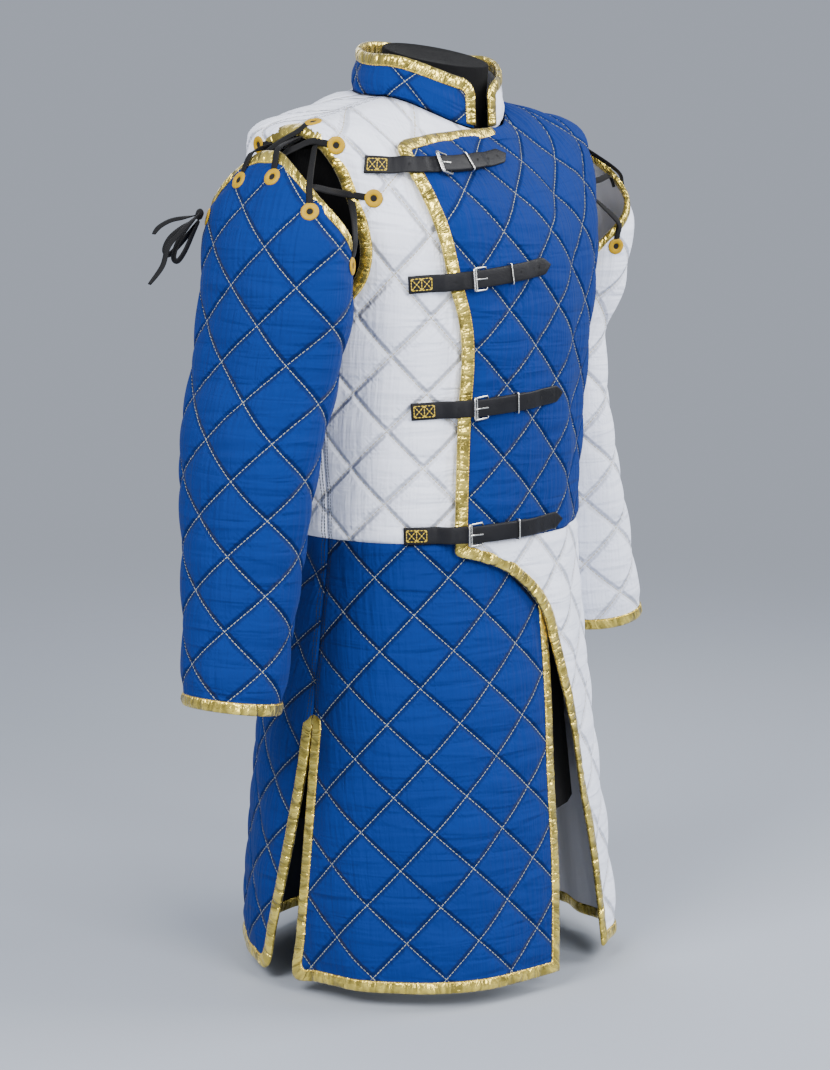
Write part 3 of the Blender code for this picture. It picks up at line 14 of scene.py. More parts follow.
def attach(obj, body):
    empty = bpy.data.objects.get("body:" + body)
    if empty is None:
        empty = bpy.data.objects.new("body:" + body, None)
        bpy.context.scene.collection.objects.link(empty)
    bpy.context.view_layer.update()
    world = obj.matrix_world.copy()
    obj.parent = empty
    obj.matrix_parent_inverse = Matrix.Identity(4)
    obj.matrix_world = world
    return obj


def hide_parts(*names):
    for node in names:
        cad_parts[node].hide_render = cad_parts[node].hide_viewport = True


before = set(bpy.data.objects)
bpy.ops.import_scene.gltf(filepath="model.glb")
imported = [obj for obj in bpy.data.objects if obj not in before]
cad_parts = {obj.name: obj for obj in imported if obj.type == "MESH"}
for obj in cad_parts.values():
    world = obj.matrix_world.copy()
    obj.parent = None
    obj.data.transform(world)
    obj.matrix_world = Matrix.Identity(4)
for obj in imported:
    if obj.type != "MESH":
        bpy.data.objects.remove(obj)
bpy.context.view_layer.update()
MM = 0.001


# ---- Camera and studio: a long lens at chest height, over a flat pale floor that fades into the grey behind, with soft boxes on both sides. None of it belongs to the coat.

CAMERA_AWAY, CAMERA_HEIGHT = 3.0, 0.978
CAMERA_TURN, CAMERA_DIP = math.radians(-50), math.radians(9.33)
LENS, SENSOR_WIDTH = 90.9, 36
IMAGE_HEIGHT, SHIFT_PIXELS = 1070, -15
FLOOR_GREY, SKY_GREY, SKY_STRENGTH = "#A2A8B2", "#C8D0DF", 0.66
FLOOR_RADIUS, FADE_START, FADE_END = 4, 0.7, 3.2   # metres: the paper fades out before its rim


def linear(hex_color):
    """An sRGB hex colour as linear RGBA."""
    values = [int(hex_color[i:i + 2], 16) / 255 for i in (1, 3, 5)]
    return (*[c / 12.92 if c <= 0.04045 else ((c + 0.055) / 1.055) ** 2.4 for c in values], 1.0)


def fill(tree, target, inputs):
    """Gives a node's inputs their values, or links them from sockets or from a node's first output."""
    for key, value in inputs.items() if isinstance(inputs, dict) else enumerate(inputs):
        if isinstance(value, bpy.types.Node):
            value = value.outputs[0]
        if isinstance(value, bpy.types.NodeSocket):
            tree.links.new(value, target.inputs[key])
        else:
            target.inputs[key].default_value = value


def node(tree, kind, inputs=(), **settings):
    """Adds a shader node with its settings, values and links."""
    made = tree.nodes.new("ShaderNode" + kind)
    for key, value in settings.items():
        setattr(made, key, value)
    fill(tree, made, inputs)
    return made


def material(name, finish, *details):
    """A material whose shader gets the values and links that finish(tree, *details) gives."""
    made = bpy.data.materials.new(name)
    made.use_nodes = True
    tree = made.node_tree
    fill(tree, tree.nodes["Principled BSDF"], finish(tree, *details))
    return made


camera = bpy.data.objects.new("camera", bpy.data.cameras.new("camera"))
camera.data.lens = LENS
camera.data.sensor_width = SENSOR_WIDTH
camera.data.shift_x = SHIFT_PIXELS / IMAGE_HEIGHT
camera.location = (
    math.sin(CAMERA_TURN) * CAMERA_AWAY, -math.cos(CAMERA_TURN) * CAMERA_AWAY, CAMERA_HEIGHT
)
camera.rotation_euler = (math.pi / 2 - CAMERA_DIP, 0, CAMERA_TURN)
bpy.context.scene.collection.objects.link(camera)
bpy.context.scene.camera = camera


def studio_paper(tree):
    """Matt studio paper, which fades into the grey behind it."""
    place = node(tree, "TexCoord").outputs["Object"]
    away = node(tree, "VectorMath", [place], operation="LENGTH").outputs["Value"]
    far = node(tree, "MapRange", {"Value": away, "From Min": FADE_START, "From Max": FADE_END},
               interpolation_type="SMOOTHSTEP")
    mixed = node(tree, "MixShader", [far, tree.nodes["Principled BSDF"], node(tree, "BsdfTransparent")])
    fill(tree, tree.nodes["Material Output"], {"Surface": mixed})
    return {"Base Color": linear(FLOOR_GREY), "Roughness": 0.9}


mesh = bmesh.new()
bmesh.ops.create_circle(mesh, cap_ends=True, radius=FLOOR_RADIUS, segments=96)
floor = bpy.data.objects.new("studio_floor", bpy.data.meshes.new("studio_floor"))
mesh.to_mesh(floor.data)
mesh.free()
floor.data.materials.append(material("studio_paper", studio_paper))
floor.location.z = -0.0005   # just under the base, so that the two faces don't flicker
bpy.context.scene.collection.objects.link(floor)


def soft_box(name, turn, height, away, size, power, aim_height):
    """A square light of this size and power (W), at this turn round the coat, aimed at its middle line."""
    lamp = bpy.data.lights.new(name, "AREA")
    lamp.size = size
    lamp.energy = power
    made = bpy.data.objects.new(name, lamp)
    angle = math.radians(turn)
    made.location = (math.sin(angle) * away, -math.cos(angle) * away, height)
    aim = Vector((0, 0, aim_height)) - made.location
    made.rotation_euler = aim.to_track_quat("-Z", "Y").to_euler()
    bpy.context.scene.collection.objects.link(made)


soft_box("key_light", -85, 2.2, 2.4, 1.4, 104, 0.6)
soft_box("front_light", -15, 1.9, 2.8, 1.4, 96, 0.85)
soft_box("fill_light", -38, 0.5, 2.6, 0.8, 14, 0.3)
soft_box("side_light", 50, 2.2, 2.4, 1.5, 84, 0.6)
soft_box("back_light", 150, 2.0, 3.0, 1.6, 22, 0.6)
world = bpy.data.worlds.new("studio")
world.use_nodes = True
fill(world.node_tree, world.node_tree.nodes["Background"],
     {"Color": linear(SKY_GREY), "Strength": SKY_STRENGTH})
bpy.context.scene.world = world


# ---- Forms that the cloth lies on. The coat is worn, so each cut piece follows a ring of the body or
# the arm at each height. These rows are the tailor's measures, in mm, with the floor at z 22.

FLOOR_Z = 22.0
BODY_Y = -20.0
HEM_Z, WAIST_Z = 40.0, 525.0
CLOTH, PILLOW = 3.0, 4.5
BAND_WIDTH, BAND_CLOTH, BAND_CROWN = 13.0, 1.2, 0.7
DIAMOND_WIDE, DIAMOND_TALL = 78.0, 79.0
LAP_LIFT, LAP_REST, LAP_RAMP = 8.6, 22.0, 48.0
TOUCH = 0.3
SPACING = 3.5   # mesh step of the quilted cloth


def metres(point):
    return Vector((point.x, point.y - BODY_Y, point.z - FLOOR_Z)) * MM


def smooth_column(values):
    """A curve through the values of one table column, with no overshoot, over the row number."""
    steps = [b - a for a, b in zip(values, values[1:])]
    slopes = [steps[0]]
    for before, after in zip(steps, steps[1:]):
        slopes.append(2 * before * after / (before + after) if before * after > 0 else 0.0)
    slopes.append(steps[-1])

    def at(row):
        index = min(max(int(row), 0), len(values) - 2)
        u = row - index
        start = (1 + 2 * u) * (1 - u) ** 2 * values[index] + u * (1 - u) ** 2 * slopes[index]
        end = u * u * (3 - 2 * u) * values[index + 1] + u * u * (u - 1) * slopes[index + 1]
        return start + end

    return at


def smooth_table(rows):
    return {field: smooth_column([getattr(row, field) for row in rows])
            for field in rows[0]._fields if field != "name"}


def rows_of(kind, *rows):
    return [kind(*row) for row in rows]


def row_at(column, value, last_row, halvings):
    """Row at which a rising column reaches this value."""
    low, high = 0.0, float(last_row)
    for _ in range(halvings):
        middle = (low + high) / 2
        low, high = (middle, high) if column(middle) < value else (low, middle)
    return low


def soft_step(x, low, high):
    u = min(max((x - low) / (high - low), 0.0), 1.0)
    return u * u * (3 - 2 * u)


def curve(a, b, c, d, u):
    """Catmull-Rom curve from b to c, with u from 0 to 1; a and d are the points before and after."""
    return b + 0.5 * u * ((c - a) + u * ((2 * a - 5 * b + 4 * c - d) + u * (3 * (b - c) + d - a)))


def smooth_path(points, steps):
    """A smooth curve through flat points, steps pieces between two of them."""
    padded = [points[0]] + list(points) + [points[-1]]
    out = []
    for near in zip(padded, padded[1:], padded[2:], padded[3:]):
        out += [curve(*near, i / steps) for i in range(steps)]
    return out + [points[-1]]


def run_lengths(places):
    """Length along a line of places, up to each of them."""
    lengths = [0.0]
    for a, b in zip(places, places[1:]):
        lengths.append(lengths[-1] + (b - a).length)
    return lengths


RING_STEPS = 24           # pieces of a half ring
PROBE = 4.0               # mm to each side, over which the cloth's directions are read


class Cloth:
    """A form that cloth lies on. A ring at each row gives points against their length round it."""

    def __init__(self, lift=None):
        self.lift = lift
        self.rings = {}

    @functools.cache
    def sizes_at(self, row):
        return {name: column(row) for name, column in self.columns.items()}

    def ring_at(self, row):
        key = round(row, 4)
        if key not in self.rings:
            points = [self.ring_point(key, i / RING_STEPS) for i in range(RING_STEPS + 1)]
            self.rings[key] = (run_lengths(points), points)
        return self.rings[key]

    @functools.cache
    def reach(self, v):
        """Length from the middle line to the edge of this form's ring."""
        return self.ring_at(self.row_of(v))[0][-1]

    def bare(self, s, v):
        lengths, points = self.ring_at(self.row_of(v))
        along = abs(s)
        index = min(bisect.bisect_left(lengths, along, 1), len(lengths) - 1) - 1
        u = (along - lengths[index]) / (lengths[index + 1] - lengths[index])
        point = points[index].lerp(points[index + 1], u)
        return self.turned(point, -1 if s < 0 else 1)

    def normal(self, s, v):
        across = self.bare(s + PROBE, v) - self.bare(s - PROBE, v)
        up = self.bare(s, v + PROBE) - self.bare(s, v - PROBE)
        return across.cross(up).normalized() * self.facing

    def place(self, s, v, out):
        if self.lift:
            out += self.lift(s, v)
        return self.bare(s, v) + self.normal(s, v) * out


# Level rings of the coat body. z and depth differ at the front, side and back.
BodyRow = namedtuple("BodyRow", "name z_front z_side z_back middle_y half_width front_depth back_depth"
                                " front_corner back_corner")
BODY_ROWS = rows_of(
    BodyRow,
    ("hem", 40, 40, 40, 2, 206, 212, 172, 2.4, 2.1),
    ("low skirt", 150, 150, 150, -4, 199, 197, 174, 2.3, 2.1),
    ("hip", 300, 300, 300, -12, 189, 173, 172, 2.2, 2.1),
    ("high hip", 420, 420, 420, -18, 179, 153, 153, 2.2, 2.2),
    ("waist", 525, 525, 525, -20, 168, 144, 134, 2.3, 2.3),
    ("ribs", 650, 650, 650, -20, 176, 148, 138, 2.3, 2.5),
    ("armpit", 765, 770, 770, -20, 188, 152, 140, 2.4, 2.9),
    ("upper chest", 850, 875, 870, -20, 206, 142, 136, 2.5, 3.5),
    ("shoulder tip", 905, 955, 945, -20, 216, 112, 116, 2.5, 3.5),
    ("mid shoulder", 940, 978, 985, -20, 145, 86, 94, 2.4, 2.6),
    ("neck", 956, 992, 1003, -20, 84, 77, 84, 2.0, 2.0),
)


class BodyCloth(Cloth):
    """Front or back of the coat body. v is the length up its middle line, from the hem's height."""

    columns = smooth_table(BODY_ROWS)
    row_steps = 12

    def __init__(self, side, lift=None):
        super().__init__(lift)
        self.side = side
        self.facing = 1 if side == "front" else -1
        self.heights = [HEM_Z]
        count = (len(BODY_ROWS) - 1) * self.row_steps
        middle = [self.ring_point(i / self.row_steps, 0.0) for i in range(count + 1)]
        for a, b in zip(middle, middle[1:]):
            self.heights.append(self.heights[-1] + (b - a).length)

    def ring_point(self, row, part):
        angle = part * math.pi / 2
        get = self.sizes_at(row)
        depth, corner = get[f"{self.side}_depth"], get[f"{self.side}_corner"]
        level = get[f"z_{self.side}"]
        x = get["half_width"] * math.sin(angle) ** (2 / corner)
        y = get["middle_y"] - self.facing * depth * max(math.cos(angle), 0.0) ** (2 / corner)
        z = level + (get["z_side"] - level) * math.sin(angle) ** 2
        return Vector((x, y, z))

    def turned(self, point, sign):
        return Vector((sign * point.x, point.y, point.z))

    def normal(self, s, v):
        """Square to the side seam's own plane beside it, so that front and back meet evenly."""
        out = super().normal(s, v)
        if self.reach(v) - abs(s) < PROBE:
            out.y = 0.0
            out.normalize()
        return out

    def row_of(self, v):
        heights = self.heights
        index = min(bisect.bisect_left(heights, v, 1), len(heights) - 1) - 1
        return (index + (v - heights[index]) / (heights[index + 1] - heights[index])) / self.row_steps

    def v_of_row(self, row):
        place = row * self.row_steps
        index = min(int(place), len(self.heights) - 2)
        return self.heights[index] + (place - index) * (self.heights[index + 1] - self.heights[index])

    @functools.cache
    def v_of_level(self, level):
        return self.v_of_row(row_at(self.columns[f"z_{self.side}"], level, len(BODY_ROWS) - 1, 40))


# Edge of the left front, from the neck over the chest, down the lap and round the cut-away skirt.
# level is the height of the ring at the centre front.
EdgePoint = namedtuple("EdgePoint", "level s")
LAP_NECKLINE = rows_of(EdgePoint, (956, -2), (947, -52), (936, -100), (921, -150))
LAP_CORNER = EdgePoint(912, -163)
LAP_EDGE = rows_of(
    EdgePoint, (896, -161), (866, -148), (838, -138), (800, -129), (760, -117), (720, -112),
    (650, -112), (585, -111), (526, -110),
)
LAP_FOOT = EdgePoint(512, -108)
CUTAWAY = rows_of(
    EdgePoint, (504, -84), (490, -52), (463, -18), (434, 4), (400, 14), (350, 27), (290, 43),
    (235, 58), (180, 75), (110, 88),
)
CUTAWAY_TIP = EdgePoint(40, 97)
RIGHT_CENTRE_EDGE = rows_of(
    EdgePoint, (40, -7), (150, 2), (262, 7), (371, 16), (470, 16), (525, 15), (650, 12), (780, 6),
    (880, 0), (925, -6), (955.8, -13),
)

# Armhole edge: how far it lies in from the side line, at each height up the side.
ArmholePoint = namedtuple("ArmholePoint", "row front back")
ARMHOLE = rows_of(
    ArmholePoint, (7.9, 18, 17), (7.75, 32, 32), (7.5, 47, 47), (7.2, 57, 58), (6.9, 65, 67),
    (6.6, 66, 70), (6.35, 56, 60), (6.15, 34, 38), (6.05, 14, 16),
)
ARMHOLE_TOP_ROW, ARMHOLE_FOOT_ROW = 8.0, 6.02

# Side slits of the skirt.
SLIT_TOP_Z = 320.0
SLIT_HALF_TOP = 0.3
FRONT_SLIT_SPREAD = 0.5      # front corner lies this far ahead of the side line at the hem
BACK_SLIT_SPREAD = 44.0      # back corner lies this far behind it

SLIT_BOW = 1.4               # a slit opens faster towards the hem by this power

# Large soft folds of the skirt: side, place round the body, width, depth at the hem, and the height
# where they fade out.
Fold = namedtuple("Fold", "side s half_width depth top")
FOLDS = rows_of(
    Fold, ("front", -250, 46, 5, 380), ("front", -60, 60, -4, 330), ("front", 150, 40, 7, 400),
    ("front", 235, 42, -9, 420), ("back", -120, 55, 8, 430), ("back", 30, 60, -7, 400),
    ("back", 150, 50, 9, 430),
)


def read_off(points, v):
    """s at height v on a line through (v, s) points that run upwards."""
    if v <= points[0][0]:
        return points[0][1]
    for (v0, s0), (v1, s1) in zip(points, points[1:]):
        if v <= v1:
            return s0 + (s1 - s0) * (v - v0) / (v1 - v0)
    return points[-1][1]


def right_edge_s(cloth, v):
    """Where the right front ends, round from the centre line."""
    return read_off([(cloth.v_of_level(p.level), p.s) for p in RIGHT_CENTRE_EDGE], v)


def lap_edge_s(cloth, v):
    """Where the left front's edge lies, at the lap or the cut-away."""
    table = [LAP_CORNER, *LAP_EDGE, LAP_FOOT, *CUTAWAY, CUTAWAY_TIP]
    return read_off([(cloth.v_of_level(p.level), p.s) for p in table[::-1]], v)


def fold_rise(side, s, v):
    rise = 0.0
    for fold in FOLDS:
        if fold.side == side and abs(s - fold.s) < fold.half_width and v < fold.top:
            across = math.cos(math.pi / 2 * (s - fold.s) / fold.half_width) ** 2
            rise += fold.depth * across * soft_step(fold.top - v, 0, fold.top - HEM_Z)
    return rise


def lap_rise(s, v):
    """Lift of the left front where it lies on the right front, and its folds."""
    rest = right_edge_s(FRONT, v) + LAP_REST
    return LAP_LIFT * (1 - soft_step(s, rest, rest + LAP_RAMP)) + fold_rise("front", s, v)


FRONT = BodyCloth("front", lambda s, v: fold_rise("front", s, v))
LEFT_FRONT = BodyCloth("front", lap_rise)
BACK = BodyCloth("back", lambda s, v: fold_rise("back", s, v))


# Level rings of a sleeve, from the cuff up. out is the distance of the middle from the body's
# middle plane, back is behind the body's middle, rise lifts the outer side of the ring.
SleeveRow = namedtuple("SleeveRow", "name z out back half_out half_deep rise")
RIGHT_SLEEVE = rows_of(
    SleeveRow,
    ("cuff", 362, 318, 4, 46, 49, 8),
    ("wrist", 412, 310, 6, 48, 53, 6),
    ("forearm", 477, 300, 8, 50, 60, 4),
    ("below elbow", 548, 291, 9, 52, 69, 2),
    ("elbow", 608, 284, 9, 53, 77, 0),
    ("above elbow", 654, 276, 9, 52, 83, 0),
    ("upper arm", 718, 260, 6, 50, 88, 0),
    ("armpit", 785, 255, -4, 50, 91, 0),
    ("cap", 845, 249, -3, 46, 90, 0),
    ("high cap", 900, 238, 0, 36, 78, 0),
    ("top", 945, 226, 0, 22, 48, 0),
)
LEFT_SLEEVE = rows_of(
    SleeveRow,
    ("cuff", 366, 325, 2, 46, 49, 8),
    ("wrist", 426, 304, 2, 47, 52, 6),
    ("forearm", 489, 286, 8, 48, 60, 4),
    ("below elbow", 548, 266, 13, 48, 69, 2),
    ("elbow", 613, 246, 18, 47, 76, 0),
    ("above elbow", 660, 241, 26, 46, 81, 0),
    ("upper arm", 718, 243, 34, 46, 85, 0),
    ("armpit", 785, 250, 14, 48, 88, 0),
    ("cap", 845, 249, 4, 46, 88, 0),
    ("high cap", 900, 238, 0, 36, 78, 0),
    ("top", 945, 226, 0, 22, 48, 0),
)
SLEEVE_HEAD_TOP = 938.0
SLEEVE_HEAD_UNDER = 778.0


class SleeveCloth(Cloth):
    """A sleeve as a tube: s runs round from its outer line, v is the height of the ring's middle."""

    def __init__(self, rows, sign):
        super().__init__()
        self.columns = smooth_table(rows)
        self.rows = rows
        self.sign = sign
        self.facing = 1

    def ring_point(self, row, part):
        angle = part * math.pi
        get = self.sizes_at(row)
        x = get["out"] + get["half_out"] * math.cos(angle)
        y = BODY_Y + get["back"] - get["half_deep"] * math.sin(angle)
        return Vector((x, y, get["z"] + get["rise"] * math.cos(angle)))

    def turned(self, point, sign):
        """The ring is held for the front half of the left arm, and is turned for the others."""
        y = point.y if sign * self.sign < 0 else 2 * self.middle_y - point.y
        return Vector((self.sign * point.x, y, point.z))

    def bare(self, s, v):
        self.middle_y = BODY_Y + self.columns["back"](self.row_of(v))
        return super().bare(s, v)

    @functools.cache
    def row_of(self, v):
        return row_at(self.columns["z"], v, len(self.rows) - 1, 30)


SIDES = {"right": -1, "left": 1}
SLEEVES = {side: SleeveCloth(rows, SIDES[side])
           for side, rows in (("right", RIGHT_SLEEVE), ("left", LEFT_SLEEVE))}
SLEEVE_HEAD_LEVEL = 0.06     # part of the way round that the head stays at its top


def sleeve_head_v(part):
    """Height of a sleeve's head at this part of the way round from its outer line."""
    drop = soft_step(abs(part), SLEEVE_HEAD_LEVEL, 1.0)
    return SLEEVE_HEAD_TOP + (SLEEVE_HEAD_UNDER - SLEEVE_HEAD_TOP) * drop


# ---- Making a piece. Cloth, tape, strap and lace are all cut flat and then worn, so each starts as a
# flat grid whose points are moved to their worn place, and keeps its flat pattern as a UV map.

def placed(name, data, slot, replaced=()):
    """The object of a piece, which rides on the coat and stands for these solids."""
    piece = bpy.data.objects.new(name, data)
    bpy.context.scene.collection.objects.link(piece)
    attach(piece, "root")
    if replaced:
        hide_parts(*replaced)
    return piece


def finished(name, mesh, materials, slot, replaced=(), smooth=True):
    """The piece that a bmesh makes, with its materials."""
    data = bpy.data.meshes.new(name)
    mesh.to_mesh(data)
    mesh.free()
    if smooth:
        data.shade_smooth()
    for finish in materials:
        data.materials.append(finish)
    return placed(name, data, slot, replaced)


def thickened(piece, thick, offset):
    wall = piece.modifiers.new("thickness", "SOLIDIFY")
    wall.thickness = thick * MM
    wall.offset = offset


def grid(mesh, columns, rows, worn, pattern, material_index=0):
    """Adds a grid to the mesh. worn(u, v) is a place in mm, pattern(u, v) the flat place in mm. It
    gives the corners by their column and row, and the faces."""
    made = bmesh.ops.create_grid(mesh, x_segments=columns, y_segments=rows, size=0.5)["verts"]
    layer = mesh.loops.layers.uv.get("UVMap") or mesh.loops.layers.uv.new("UVMap")
    flat_places, corners = {}, {}
    for vert in made:
        u, v = vert.co.x + 0.5, vert.co.y + 0.5
        corners[round(u * columns), round(v * rows)] = vert
        flat_places[vert] = Vector(pattern(u, v)) * MM
        vert.co = metres(worn(u, v))
    faces = {face for vert in made for face in vert.link_faces}
    for face in faces:
        face.material_index = material_index
        for loop in face.loops:
            loop[layer].uv = flat_places[loop.vert]
    return corners, list(faces)


def looks_out(faces, place, out):
    """Whether the face nearest this place looks along out."""
    spot = metres(place)
    nearest = min(faces, key=lambda face: (face.calc_center_median() - spot).length_squared)
    nearest.normal_update()
    return nearest.normal.dot(out) > 0


def around(places, i):
    """The step from the place before this one to the place after it."""
    return places[min(i + 1, len(places) - 1)] - places[max(i - 1, 0)]


RIBBON_CROWN = 0.8        # share of its thickness by which a ribbon's middle stands up


def strip(name, places, outs, width, thick, materials, slot, replaced=()):
    """A flat ribbon along places in mm, whose faces look along outs."""
    count = len(places) - 1
    lengths = run_lengths(places)

    def worn(u, v):
        i = min(round(u * count), count)
        across = outs[i].cross(around(places, i).normalized()).normalized()
        rise = outs[i] * ((0.25 - (v - 0.5) ** 2) * thick * RIBBON_CROWN)
        return places[i] + across * (v - 0.5) * width + rise

    mesh = bmesh.new()
    grid(mesh, count, 4, worn, lambda u, v: (lengths[min(round(u * count), count)], v * width))
    piece = finished(name, mesh, materials, slot, replaced)
    thickened(piece, thick, 0)
    return piece


def cut_flat(piece):
    """Works out the size and area of a sheet's own flat pattern, which its UV map holds; nothing keeps them.
    """
    data = piece.data
    layer = data.uv_layers[0].data
    lows, highs, area = Vector((1e9, 1e9)), Vector((-1e9, -1e9)), 0.0
    for face in data.polygons:
        if face.material_index:
            continue
        corners = [layer[i].uv for i in face.loop_indices]
        for corner in corners:
            lows = Vector((min(lows.x, corner.x), min(lows.y, corner.y)))
            highs = Vector((max(highs.x, corner.x), max(highs.y, corner.y)))
        turned = corners[1:] + corners[:1]
        area += abs(sum(a.x * b.y - a.y * b.x for a, b in zip(corners, turned))) / 2
    size = highs - lows
    area = min(max(area, 0.301 * size.x * size.y), size.x * size.y)


# ---- Laces and bows. A flat woven lace ties each sleeve on: it comes up through a stitched eyelet,
# goes over its own bound edge and under the other one, and ends behind in a bow with free ends.

LACE_WIDTH, LACE_THICK = 7.0, 1.6
LaceEnd = namedtuple("LaceEnd", "on where away")
EYELET_DROP = 26.0
# One lace for each shoulder: eyelets in the order that it passes them, from the front to the bow.
# On the body where is the row, and away lies in from the side line; on the sleeve where is the part
# of the way round from the outer line to the front, and away is below the head's edge.
LACE_ROUTE = rows_of(
    LaceEnd, ("sleeve", 0.56, EYELET_DROP), ("front", 7.26, 86), ("sleeve", 0.34, EYELET_DROP),
    ("front", 7.89, 50), ("sleeve", 0.10, EYELET_DROP), ("front", 8.3, 14),
    ("sleeve", -0.16, EYELET_DROP), ("back", 7.8, 52), ("sleeve", -0.38, EYELET_DROP),
)


def armhole_inward(row, side):
    """How far the armhole's edge lies in from the side line at this row."""
    table = [(point.row, getattr(point, side)) for point in ARMHOLE[::-1]]
    return read_off(table + [(ARMHOLE_TOP_ROW, 0)], row)


# Where a lace crosses the binding: share of its width in from the edge, and at the shoulder the rows
# past the armhole's top and the share of the eyelet's way in.
MOUTH_IN, TOP_MOUTH_ROW, TOP_MOUTH_SHARE = 0.4, 0.06, 0.6


def lace_stops(side, end):
    """The cloth of an eyelet, with three flat points: the eyelet, the quilting and the binding beside it."""
    if end.on == "sleeve":
        cloth = SLEEVES[side]
        edge_v = sleeve_head_v(end.where)
        heights = (edge_v - end.away, edge_v - BAND_WIDTH + 1, edge_v + 1)
        return cloth, [Vector((-cloth.sign * end.where * cloth.reach(v), v)) for v in heights]
    cloth = {"front": FRONT if side == "right" else LEFT_FRONT, "back": BACK}[end.on]
    if end.where > ARMHOLE_TOP_ROW:
        mouth_row, mouth_away = ARMHOLE_TOP_ROW + TOP_MOUTH_ROW, end.away * TOP_MOUTH_SHARE
    else:
        mouth_row = end.where
        mouth_away = armhole_inward(end.where, end.on) + BAND_WIDTH * MOUTH_IN
    middle = ((end.where + mouth_row) / 2, (end.away + mouth_away) / 2)
    points = []
    for row, away in ((end.where, end.away), middle, (mouth_row, mouth_away)):
        v = cloth.v_of_row(row)
        points.append(Vector((SIDES[side] * (cloth.reach(v) - away), v)))
    return cloth, points


BowPoint = namedtuple("BowPoint", "across down out")
BOW_LOOPS = {
    "1": rows_of(BowPoint, (-3.6, 5.6, 3), (-4, 16, 14), (-4, 31, 24), (-4, 45, 27), (-4, 50, 22),
                 (-4, 40, 15), (-4, 22, 6), (-3.6, 7.5, -0.5)),
    "2": rows_of(BowPoint, (3.6, 5.8, 3), (4.5, 20, 10), (5, 36, 16), (5, 53, 17), (5, 56, 12),
                 (5, 44, 7), (4.5, 24, 3), (3.6, 8.0, -0.5)),
}
LACE_ENDS = {
    "1": rows_of(BowPoint, (-7.9, 0, 2), (-12, 5, 14), (-12, 12, 27), (-12, 22, 37), (-12, 31, 41)),
    "2": rows_of(BowPoint, (8.9, 1.6, 1), (13, 20, 12), (13.4, 45, 25), (13.4, 68, 27), (12, 90, 36)),
}
KNOT_SIZE, KNOT_FLATNESS = 6.5, 0.7
END_WIDTH, END_THICK = 6.0, 1.3
END_TWISTS, TIP_TWIST = 3, 0.4     # how soon a ribbon turns over beside the knot, and the turn at its tip


def knot_frame(side):
    """Middle of a bow's knot, and the directions across, down and out of the cloth there."""
    cloth = SLEEVES[side]
    end = LACE_ROUTE[-1]
    v = sleeve_head_v(end.where) - end.away
    s = -cloth.sign * end.where * cloth.reach(v)
    out = cloth.normal(s, v)
    down = (cloth.bare(s, v - PROBE) - cloth.bare(s, v)).normalized()
    across = out.cross(down).normalized() * -cloth.sign
    rise = CLOTH + PILLOW + LACE_THICK + 2 * TOUCH + KNOT_SIZE * KNOT_FLATNESS
    return cloth.bare(s, v) + out * rise, across, down, out


def cotton_braid(tree):
    """Flat black cotton braid: matt, with a slanting plait every 2.4 mm that catches light on its ridges."""
    plait = node(tree, "TexWave", {"Vector": node(tree, "UVMap", uv_map="UVMap"), "Scale": 260,
                                   "Distortion": 1.5}, wave_type="BANDS",
                 bands_direction="DIAGONAL").outputs["Fac"]
    return {
        "Base Color": node(tree, "MixRGB", [plait, linear("#060607"), linear("#131316")]),
        "Normal": node(tree, "Bump", {"Height": plait, "Strength": 0.5, "Distance": 0.0004}),
        "Roughness": 0.7, "Sheen Weight": 0.03, "Specular IOR Level": 0.2,
    }


BRAID = material("black_cotton_braid", cotton_braid)


def bow_ribbon(side, points, kind, number, replaced):
    """A loop or an end of a bow: a ribbon that turns over beside the knot. It gives its places too."""
    middle, across, down, out = knot_frame(side)
    places = smooth_path([middle + across * p.across + down * p.down + out * p.out for p in points], 6)
    count = len(places) - 1
    ways = []
    for i in range(count + 1):
        flat_way = around(places, i).cross(across).normalized()
        twist = min(END_TWISTS * i / count, END_TWISTS * (count - i) / count + TIP_TWIST, 1.0)
        ways.append((flat_way + across * twist).normalized())
    ribbon = strip(f"braid_{kind}_{side}_{number}", places, ways, END_WIDTH, END_THICK, [BRAID],
                   "black_lace", [f"{replaced}_{side}_{number}"])
    return ribbon, places


for side in SIDES:
    for number, points in LACE_ENDS.items():
        end, places = bow_ribbon(side, points, "end", number, "lace_end")
        route = [metres(place) for place in places]
        run_lengths(route)[-1]
    for number, points in BOW_LOOPS.items():
        bow_ribbon(side, points, "loop", number, "bow_loop")

# The bow's knot: two rounded turns of the lace pulled tight over each other, with a groove between.
KNOT_RADIUS, KNOT_WIDE, KNOT_LONG = KNOT_SIZE * 0.97, 1.05, 0.95
KNOT_GROOVE, GROOVE_SLANT, GROOVE_WIDTH = 0.16, 0.35, 0.16
for side in SIDES:
    middle, across, down, out = knot_frame(side)
    mesh = bmesh.new()
    bmesh.ops.create_uvsphere(mesh, u_segments=28, v_segments=16, radius=1.0)
    for vert in mesh.verts:
        x, y, z = vert.co
        groove = 1 - KNOT_GROOVE * math.exp(-((x - GROOVE_SLANT * y) / GROOVE_WIDTH) ** 2)
        uneven = 1 + 0.05 * noise.noise(vert.co * 3)
        place = across * x * KNOT_WIDE + down * y * KNOT_LONG + out * z * KNOT_FLATNESS
        vert.co = metres(middle + place * (KNOT_RADIUS * groove * uneven))
    layer = mesh.loops.layers.uv.new("UVMap")
    for face in mesh.faces:
        for corner in face.loops:
            corner[layer].uv = (corner.vert.co.x, corner.vert.co.z)
    bmesh.ops.recalc_face_normals(mesh, faces=mesh.faces[:])
    finished(f"braid_knot_{side}", mesh, [BRAID], "black_lace", [f"bow_knot_{side}"])

